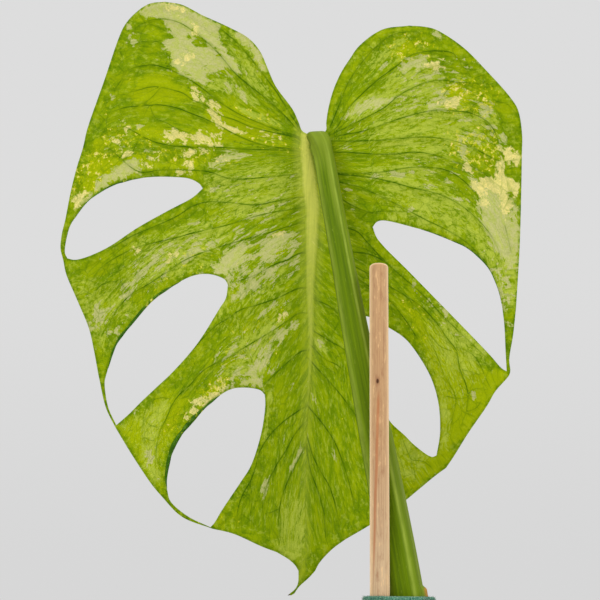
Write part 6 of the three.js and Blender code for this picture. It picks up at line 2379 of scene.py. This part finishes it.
@dataclass
class Stake:
    """The round dowel that leans a little to the right."""

    foot: tuple[float, float, float] = (-11.7, -7.6, 32.0)
    head: tuple[float, float, float] = (-8.15, -7.6, 312.7)
    radius: float = 4.0
    shoulder: float = 1.5

    def build(self) -> bpy.types.Object:
        """Sweep the dowel's circle, drawn in over a rounded shoulder at the head.

        Returns:
            The stake.
        """
        sides = 64
        foot, head = np.array(self.foot), np.array(self.head)
        length = np.linalg.norm(head - foot)
        axis = (head - foot) / length
        shaft = np.linspace(0, length - self.shoulder, 90)
        corner = np.linspace(0, np.pi / 2, 8)[1:]
        heights = np.concatenate([shaft, length - self.shoulder + self.shoulder * np.sin(corner)])
        drawn = np.concatenate([np.zeros(len(shaft)), self.shoulder * (1 - np.cos(corner))])
        angles = full_turn(sides)
        uneven = 0.02 * lattice_noise(angles * 6, heights[:, None], 30.0, 4)
        radii = (self.radius - drawn)[:, None] + uneven
        front = np.array([0, -1.0, 0])
        side = np.cross(axis, front)
        ring = front * np.cos(angles)[:, None] + side * np.sin(angles)[:, None]
        rings = foot + axis * heights[:, None, None] + ring * radii[..., None]
        around = ((angles + np.pi) % FULL_TURN - np.pi) * self.radius
        skin = closed_tube(rings, {"grain": triples(radii.shape, around, rings[..., 2], 0)})
        return skin.build("stake_dressed", [DowelFinish().make()], "stake", "stake_wood")


@dataclass
class Tie:
    """The fuzzy strap round the stake and the petiole, with its end lapped over."""

    petiole: Petiole
    stake: Stake
    top: float = 173.6
    width: float = 13.0
    thickness: float = 1.5
    gap: float = 0.3
    lap_angle: float = 3.5
    lap_spread: float = 0.75
    lap_thickness: float = 1.2
    fibres: int = 5200

    def loop(self, sides: int) -> tuple[np.ndarray, np.ndarray]:
        """Find the tightest line round the stake and the petiole: the furthest point each way.

        Args:
            sides: Number of directions.

        Returns:
            The touching points and the outward directions.
        """
        low = self.top - self.width
        path = self.petiole.path()
        near = (path.points[:, 2] > low - 4) & (path.points[:, 2] < self.top + 4)
        centres = path.points[near][:, :2]
        radius = self.petiole.radius_along(path)[near]
        turn = full_turn(72)
        circle = np.stack([np.cos(turn), np.sin(turn)], axis=1)
        stalk = (centres[:, None] + circle[None] * (radius * 1.03)[:, None, None]).reshape(-1, 2)
        foot, head = np.array(self.stake.foot), np.array(self.stake.head)
        spots = [(foot + (head - foot) * (z - foot[2]) / (head[2] - foot[2]))[:2]
                 for z in (low, self.top)]
        post = np.vstack([spot + circle * self.stake.radius for spot in spots])
        within = np.vstack([stalk, post])
        angles = full_turn(sides)
        out = np.stack([np.cos(angles), np.sin(angles)], axis=1)
        return within[(within @ out.T).argmax(axis=0)], out

    def band(self) -> tuple[Skin, np.ndarray, np.ndarray, np.ndarray]:
        """Sweep the strap's section, a rounded bar, round the loop.

        Returns:
            The skin, the loop's outer points, its directions and its thickness there.
        """
        sides, corners = 240, 24
        touch, out = self.loop(sides)
        angle = full_turn(sides)
        lap = self.lap_thickness * bell(angle - self.lap_angle, self.lap_spread)
        thick = self.thickness + lap
        corner = np.linspace(0, FULL_TURN, corners, endpoint=False)
        u = np.sign(np.cos(corner)) * np.abs(np.cos(corner)) ** 0.45
        v = np.sign(np.sin(corner)) * np.abs(np.sin(corner)) ** 0.3
        reach = self.gap + thick[:, None] * (0.5 + 0.5 * u[None])
        wave = 0.25 * lattice_noise(angle[:, None] * 9, v[None] * 6, 1.0, 14)
        spot = touch[:, None] + out[:, None] * (reach + wave * (u[None] > 0))[..., None]
        height = self.top - self.width / 2 + self.width / 2 * v[None] * np.ones_like(reach) + 0.2 * wave
        rings = np.concatenate([spot, height[..., None]], axis=-1)
        skin = Skin(rings.reshape(-1, 3), grid_quads(sides, corners, loop_rows=True))
        return skin, touch, out, thick

    def fuzz(self, touch: np.ndarray, out: np.ndarray, thick: np.ndarray) -> Skin:
        """Stand short three-sided fibres on the strap's outside and edges, leaning at random.

        Args:
            touch: Touching points of the loop.
            out: Outward directions.
            thick: Strap thickness at each direction.

        Returns:
            The skin of all fibres.
        """
        rng = np.random.default_rng(31)
        k = rng.integers(0, len(touch), self.fibres)
        level = rng.uniform(-1, 1, self.fibres)
        depth = np.where(np.abs(level) > 0.93, rng.uniform(0.15, 1, self.fibres), 0.97)
        level = np.where(np.abs(level) > 0.93, np.sign(level) * 0.99, level)
        spread = rng.uniform(-0.35, 0.35, self.fibres)
        tangent = np.stack([-out[k, 1], out[k, 0]], axis=1)
        offset = out[k] * (self.gap + thick[k] * depth)[:, None]
        flat = touch[k] + offset + tangent * spread[:, None]
        base = np.column_stack([flat, self.top - self.width / 2 + level * self.width / 2])
        outward = np.column_stack([out[k], np.zeros(self.fibres)])
        beyond = np.where(np.abs(level) > 0.95, np.sign(level), 0)
        edge_up = beyond[:, None] * np.array([[0, 0, 1.0]])
        lean = rng.normal(0, 0.55, (self.fibres, 3))
        heading = unit(outward * (depth > 0.9)[:, None] + edge_up + lean)
        length = rng.uniform(0.35, 0.95, self.fibres)
        radius = rng.uniform(0.035, 0.06, self.fibres)
        a = unit(np.cross(heading, rng.normal(0, 1, (self.fibres, 3))))
        b = np.cross(heading, a)
        turns = full_turn(3)[:, None]
        ring = a[:, None] * np.cos(turns) + b[:, None] * np.sin(turns)
        foot = base[:, None] - heading[:, None] * 0.2 + ring * radius[:, None, None]
        tip = base + heading * length[:, None]
        points = np.concatenate([foot, tip[:, None]], axis=1).reshape(-1, 3)
        start = np.arange(self.fibres)[:, None] * 4
        shape = np.array([[0, 1, 3], [1, 2, 3], [2, 0, 3], [0, 2, 1]])
        triangles = (start[:, None] + shape[None]).reshape(-1, 3)
        return Skin(points, triangles=triangles)

    def build(self) -> bpy.types.Object:
        """Make the strap with its fuzz.

        Returns:
            The tie.
        """
        band, touch, out, thick = self.band()
        skin = band.joined(self.fuzz(touch, out, thick))
        return skin.build("tie_dressed", [StrapFinish().make()], "tie", "tie_fabric")


@dataclass
class Pot:
    """The nursery pot: a turned wall with a band and a rolled lip, and drain holes in its floor."""

    height: float = 110.0
    top_radius: float = 65.0
    base_radius: float = 47.0
    wall: float = 1.6
    lip: float = 1.8
    band_height: float = 20.0
    band_step: float = 1.2
    floor: float = 2.2
    arch: float = 3.0
    centre_radius: float = 20.0
    foot_inner: float = 41.0
    drain_holes: int = 8
    drain_radius: float = 4.5
    drain_circle: float = 31.5
    arc_steps: int = 24
    ray_steps: int = 10

    def inside(self, height: float) -> float:
        """Give the wall's inner radius at a height."""
        share = height / self.height
        return self.base_radius * (1 - share) + (self.top_radius - self.band_step) * share - self.wall

    def ring_angles(self) -> np.ndarray:
        """Give the angles that the turned parts share with the floor's sectors."""
        return full_turn(self.drain_holes * self.arc_steps)

    def turned(self, profile: np.ndarray) -> Skin:
        """Turn a profile about the pot's axis, facing left of its way along.

        Args:
            profile: Radius and height of each point.

        Returns:
            The open skin.
        """
        angles = self.ring_angles()
        radius, height = profile[:, 0, None], profile[:, 1, None]
        rings = triples((len(profile), len(angles)), radius * np.cos(angles),
                        radius * np.sin(angles), height)
        return Skin(rings.reshape(-1, 3), grid_quads(len(profile), len(angles)))

    def wall_profile(self) -> np.ndarray:
        """Draw the wall: foot ring, outside with its band, rolled lip, inside, and floor's rim.

        Returns:
            Radius and height of each point.
        """
        band_foot = self.height - self.band_height
        wall_top = self.inside(band_foot) + self.wall
        lip_out = self.top_radius + self.lip - self.wall / 2
        mouth = self.inside(self.height)
        top = self.arch + self.floor
        outside = np.array([
            [self.foot_inner - 2, self.arch], [self.foot_inner - 0.4, 0.5], [self.foot_inner, 0.1],
            [self.foot_inner + 0.5, 0], [self.base_radius - 1.5, 0], [self.base_radius - 0.5, 0.35],
            [self.base_radius, 1.5],
        ])
        climb = np.linspace(0.04, 1, 26)[:, None]
        low, high = np.array([self.base_radius, 1.5]), np.array([wall_top, band_foot - 1.6])
        wall = low * (1 - climb) + high * climb
        band = np.array([
            [wall_top + 0.15, band_foot - 1.1], [wall_top + self.band_step - 0.25, band_foot - 0.35],
            [wall_top + self.band_step, band_foot + 0.3], [self.top_radius - 0.55, self.height - 8],
            [self.top_radius - 0.25, self.height - 4.7], [self.top_radius, self.height - 4.25],
        ])
        roll = np.linspace(-0.42 * np.pi, 0.5 * np.pi, 10)
        lip = np.stack([lip_out - 1.6 + 2.1 * np.cos(roll),
                        self.height - 2.1 + 2.1 * np.sin(roll)], axis=1)
        inner = np.array([
            [mouth + 1.1, self.height - 0.05], [mouth + 0.3, self.height - 0.4],
            [mouth, self.height - 1.2],
            [self.inside(60), 60], [self.inside(top + 3), top + 3],
            [self.inside(top + 1) - 0.5, top + 1],
            [self.inside(0) - 2, top], [self.foot_inner - 2, top],
        ])
        return np.vstack([outside, wall, band, lip, inner])

    def sheet(self, height: float, upward: bool) -> tuple[Skin, np.ndarray]:
        """Fill the floor's ring with sectors, each with a round hole, on rays from the hole.

        Args:
            height: Height of the sheet.
            upward: Whether the sheet faces up.

        Returns:
            The open skin, and the circles of the holes as (hole, side, 3).
        """
        half = np.pi / self.drain_holes
        low, high = self.centre_radius + 2, self.foot_inner - 2
        arc = np.linspace(-half, half, self.arc_steps, endpoint=False)
        ray = np.linspace(0, 1, self.ray_steps, endpoint=False)
        radius = np.concatenate([np.full(len(arc), high), high + (low - high) * ray,
                                 np.full(len(arc), low), low + (high - low) * ray])
        angle = np.concatenate([arc, np.full(len(ray), half), -arc, np.full(len(ray), -half)])
        border = np.stack([radius * np.cos(angle), radius * np.sin(angle)], axis=1)
        centre = np.array([self.drain_circle, 0])
        way = border - centre
        circle = centre + self.drain_radius * way / np.linalg.norm(way, axis=1, keepdims=True)
        t = np.linspace(0, 1, 4)[:, None, None]
        layers = circle * (1 - t) + border * t
        turn = (np.arange(self.drain_holes) + 0.5) * 2 * half
        cosine, sine = np.cos(turn)[:, None, None], np.sin(turn)[:, None, None]
        x = layers[None, ..., 0] * cosine - layers[None, ..., 1] * sine
        y = layers[None, ..., 0] * sine + layers[None, ..., 1] * cosine
        spots = np.stack([x, y, np.full_like(x, height)], axis=-1)
        sector = grid_quads(len(t), len(border))
        shifts = np.arange(self.drain_holes)[:, None, None] * len(t) * len(border)
        quads = (shifts + sector).reshape(-1, 4)
        return Skin(spots.reshape(-1, 3), quads[:, ::-1] if upward else quads), spots[:, 0]

    def build(self) -> bpy.types.Object:
        """Join the wall, the two sheets of the floor, the holes' walls and the centre.

        Returns:
            The pot.
        """
        top = self.arch + self.floor
        under, low_circles = self.sheet(self.arch, False)
        upper, high_circles = self.sheet(top, True)
        skin = self.turned(self.wall_profile()).joined(under).joined(upper)
        for low, high in zip(low_circles, high_circles):
            skin = skin.joined(Skin(np.vstack([low, high]), grid_quads(2, len(low))[:, ::-1]))
        centre = np.array([[self.centre_radius + 2, top], [0, top]])
        middle = np.array([[0, 0], [self.centre_radius - 0.3, 0], [self.centre_radius, 0.2],
                           [self.centre_radius + 2, self.arch]])
        skin = skin.joined(self.turned(centre)).joined(self.turned(middle))
        return skin.welded().build("pot_dressed", [PlasticFinish().make()], "pot", "pot_plastic")


GOLDEN = (1 + 5 ** 0.5) / 2
BALL_CORNERS = np.array([
    [-1, GOLDEN, 0], [1, GOLDEN, 0], [-1, -GOLDEN, 0], [1, -GOLDEN, 0], [0, -1, GOLDEN],
    [0, 1, GOLDEN], [0, -1, -GOLDEN], [0, 1, -GOLDEN], [GOLDEN, 0, -1], [GOLDEN, 0, 1],
    [-GOLDEN, 0, -1], [-GOLDEN, 0, 1]])
BALL_FACES = np.array([
    [0, 11, 5], [0, 5, 1], [0, 1, 7], [0, 7, 10], [0, 10, 11], [1, 5, 9], [5, 11, 4], [11, 10, 2],
    [10, 7, 6], [7, 1, 8], [3, 9, 4], [3, 4, 2], [3, 2, 6], [3, 6, 8], [3, 8, 9], [4, 9, 5],
    [2, 4, 11], [6, 2, 10], [8, 6, 7], [9, 8, 1]])


@dataclass
class Soil:
    """The potting mix: its body from the model, and loose bits of bark, fibre and grit on top."""

    pot: Pot
    stem: Stem
    stake: Stake
    top: float = 98.0
    relief: float = 1.3

    def surface(self, x: np.ndarray, y: np.ndarray) -> np.ndarray:
        """Give the surface's height: two crossed waves that die out at the wall.

        Args:
            x: Places across.
            y: Places away.

        Returns:
            Heights in millimetres.
        """
        lumps = np.sin(x / 5.1 + 1) * np.sin(y / 4.3 + 2) + 0.6 * np.sin(x / 2.9 - y / 3.7)
        edge = 1 - (np.hypot(x, y) / self.pot.inside(self.top)) ** 6
        return self.top + self.relief * lumps * np.maximum(0, edge)

    def spots(self, count: int, clear: float, seed: int) -> tuple[np.ndarray, np.ndarray]:
        """Scatter places on the surface, clear of the wall, the stem, the root and the stake.

        Args:
            count: Places to try.
            clear: Distance to keep from them.
            seed: Seed of the scatter.

        Returns:
            The x and y of the places that are clear.
        """
        rng = np.random.default_rng(seed)
        radius = np.sqrt(rng.uniform(0, 1, count)) * (self.pot.inside(self.top) - 0.4 - clear)
        angle = rng.uniform(0, FULL_TURN, count)
        x, y = radius * np.cos(angle), radius * np.sin(angle)
        trunk, root = self.stem.path_points[0], self.stem.root_points[3]
        post = np.array(self.stake.foot) * 0.77 + np.array(self.stake.head) * 0.23
        free = np.hypot(x - trunk[0], y - trunk[1]) > 9.8 + clear
        free &= np.hypot(x - root[0], y - root[1]) > 3.2 + clear
        free &= np.hypot(x - post[0], y - post[1]) > 4.3 + clear
        return x[free], y[free]

    def bits(self, name: str, count: int, size: tuple[float, float],
             stretch: tuple[float, float, float],
             finish: GritFinish, seed: int) -> bpy.types.Object:
        """Strew one kind of bit: dented balls of 20 faces, stretched, turned and half sunk.

        Args:
            name: Name of the piece.
            count: Bits to try to place.
            size: Smallest and largest radius.
            stretch: Length, width and height as shares of the radius.
            finish: Finish of the bits.
            seed: Seed of their places and shapes.

        Returns:
            The bits as one piece.
        """
        rng = np.random.default_rng(seed)
        x, y = self.spots(count, size[1] * stretch[0] * 0.8, seed + 100)
        n = len(x)
        corners = BALL_CORNERS / np.linalg.norm(BALL_CORNERS[0])
        radius = rng.uniform(*size, n)
        dents = rng.uniform(0.7, 1.15, (n, len(corners), 1))
        shape = corners[None] * dents * np.array(stretch) * radius[:, None, None]
        spin, tilt = rng.uniform(0, FULL_TURN, n), rng.normal(0, 0.35, n)
        ct, st, cs, ss = np.cos(tilt), np.sin(tilt), np.cos(spin), np.sin(spin)
        tilted = np.stack([triples(n, ct, 0, st), triples(n, 0, 1, 0), triples(n, -st, 0, ct)],
                          axis=1)
        spun = np.stack([triples(n, cs, -ss, 0), triples(n, ss, cs, 0), triples(n, 0, 0, 1)],
                        axis=1)
        shape = np.einsum("nij,njk,nvk->nvi", spun, tilted, shape)
        rest = self.surface(x, y) + radius * stretch[2] * rng.uniform(0.0, 0.6, n)
        points = shape + np.stack([x, y, rest], axis=1)[:, None]
        triangles = (np.arange(n)[:, None, None] * len(corners) + BALL_FACES).reshape(-1, 3)
        skin = Skin(points.reshape(-1, 3), triangles=triangles)
        piece = skin.build(name, [finish.make()], None, "soil")
        piece.data.polygons.foreach_set("use_smooth", np.zeros(len(piece.data.polygons), bool))
        return piece

    def build(self) -> None:
        """Dress the model's soil and strew the loose bits over it."""
        mix = GritFinish("Potting mix", srgb(38, 26, 18), srgb(78, 56, 38), 380.0)
        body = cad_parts["soil"]
        body.data.materials.clear()
        body.data.materials.append(mix.make())
        crumb = GritFinish("Peat crumbs", srgb(44, 30, 20), srgb(88, 64, 44), 600.0)
        bark = GritFinish("Bark chips", srgb(84, 52, 30), srgb(136, 94, 58), 260.0)
        grit = GritFinish("Perlite grains", srgb(214, 210, 198), srgb(240, 238, 230), 500.0)
        self.bits("soil_crumbs", 5200, (0.5, 1.3), (1.0, 1.0, 0.85), crumb, 1)
        self.bits("soil_bark_chips", 260, (1.8, 4.2), (1.5, 0.8, 0.32), bark, 2)
        self.bits("soil_perlite", 240, (0.8, 1.7), (1.0, 0.9, 0.85), grit, 3)


@dataclass
class Studio:
    """Floor, lights and the camera at the photograph's angle."""

    space: LeafSpace
    focal_pixels: float = 1300.0
    frame_pixels: float = 600.0

    def floor(self) -> None:
        """Lay a plain pale floor under the pot."""
        mesh = bpy.data.meshes.new("floor")
        size = 60
        corners = [(-size, -size, 0), (size, -size, 0), (size, size, 0), (-size, size, 0)]
        mesh.from_pydata(corners, [], [(0, 1, 2, 3)])
        floor = bpy.data.objects.new("floor", mesh)
        bpy.context.scene.collection.objects.link(floor)
        paper = Surface("Floor paper", Base_Color=srgb(226, 226, 225), Roughness=0.9)
        mesh.materials.append(paper.material)

    def world(self) -> None:
        """Surround the scene with soft grey light, a little darker low down."""
        world = bpy.data.worlds.new("Soft studio")
        world.use_nodes = True
        bpy.context.scene.world = world
        graph = Graph(world.node_tree)
        background = world.node_tree.nodes["Background"]
        _, _, up = graph.split(graph.coordinates("Generated"))
        sky = graph.blend(graph.rise(up, 0.03, 0.3), srgb(215, 215, 215), srgb(221, 221, 221))
        graph.put(background.inputs["Color"], sky)
        background.inputs["Strength"].default_value = 1.0

    def lamp(self, name: str, place: tuple[float, float, float], aim: tuple[float, float, float],
             size: float, watts: float) -> None:
        """Hang one soft area light.

        Args:
            name: The light's name.
            place: Where it hangs, in metres.
            aim: What it faces, in metres.
            size: Its width in metres.
            watts: Its power.
        """
        light = bpy.data.lights.new(name, "AREA")
        light.size = size
        light.energy = watts
        lamp = bpy.data.objects.new(name, light)
        lamp.location = place
        bpy.context.scene.collection.objects.link(lamp)
        way = np.array(aim) - np.array(place)
        lamp.rotation_mode = "QUATERNION"
        lamp.rotation_quaternion = Vector(way.tolist()).to_track_quat("-Z", "Y")

    def camera(self) -> None:
        """Stand the camera at the eye, looking up at the leaf plane."""
        data = bpy.data.cameras.new("Camera")
        data.sensor_width = 36.0
        data.lens = data.sensor_width * self.focal_pixels / self.frame_pixels
        data.clip_start = 0.01
        camera = bpy.data.objects.new("Camera", data)
        camera.location = [v * METRES for v in self.space.eye()]
        camera.rotation_euler = (np.radians(90 + self.space.lean_degrees), 0, 0)
        bpy.context.scene.collection.objects.link(camera)
        bpy.context.scene.camera = camera

    def build(self) -> None:
        """Set the stage."""
        self.floor()
        self.world()
        self.lamp("Key light", (-0.7, -1.1, 1.25), (-0.04, 0.0, 0.3), 0.9, 17.0)
        self.lamp("Fill light", (0.9, -0.9, 0.7), (-0.04, 0.0, 0.28), 0.9, 8.0)
        self.camera()
        view = bpy.context.scene.view_settings
        view.view_transform = "Standard"
        view.look = "None"
        view.exposure = 0.0


def main() -> None:
    """Build every piece in order and report it."""
    logging.basicConfig(level=logging.INFO, format="%(message)s")
    space = LeafSpace()
    Studio(space).build()
    Blade(space).build()
    petiole = Petiole(space)
    petiole.build()
    stem = Stem()
    stem.build()
    stake = Stake()
    stake.build()
    Tie(petiole, stake).build()
    pot = Pot()
    pot.build()
    Soil(pot, stem, stake).build()


if __name__ == "__main__":
    main()
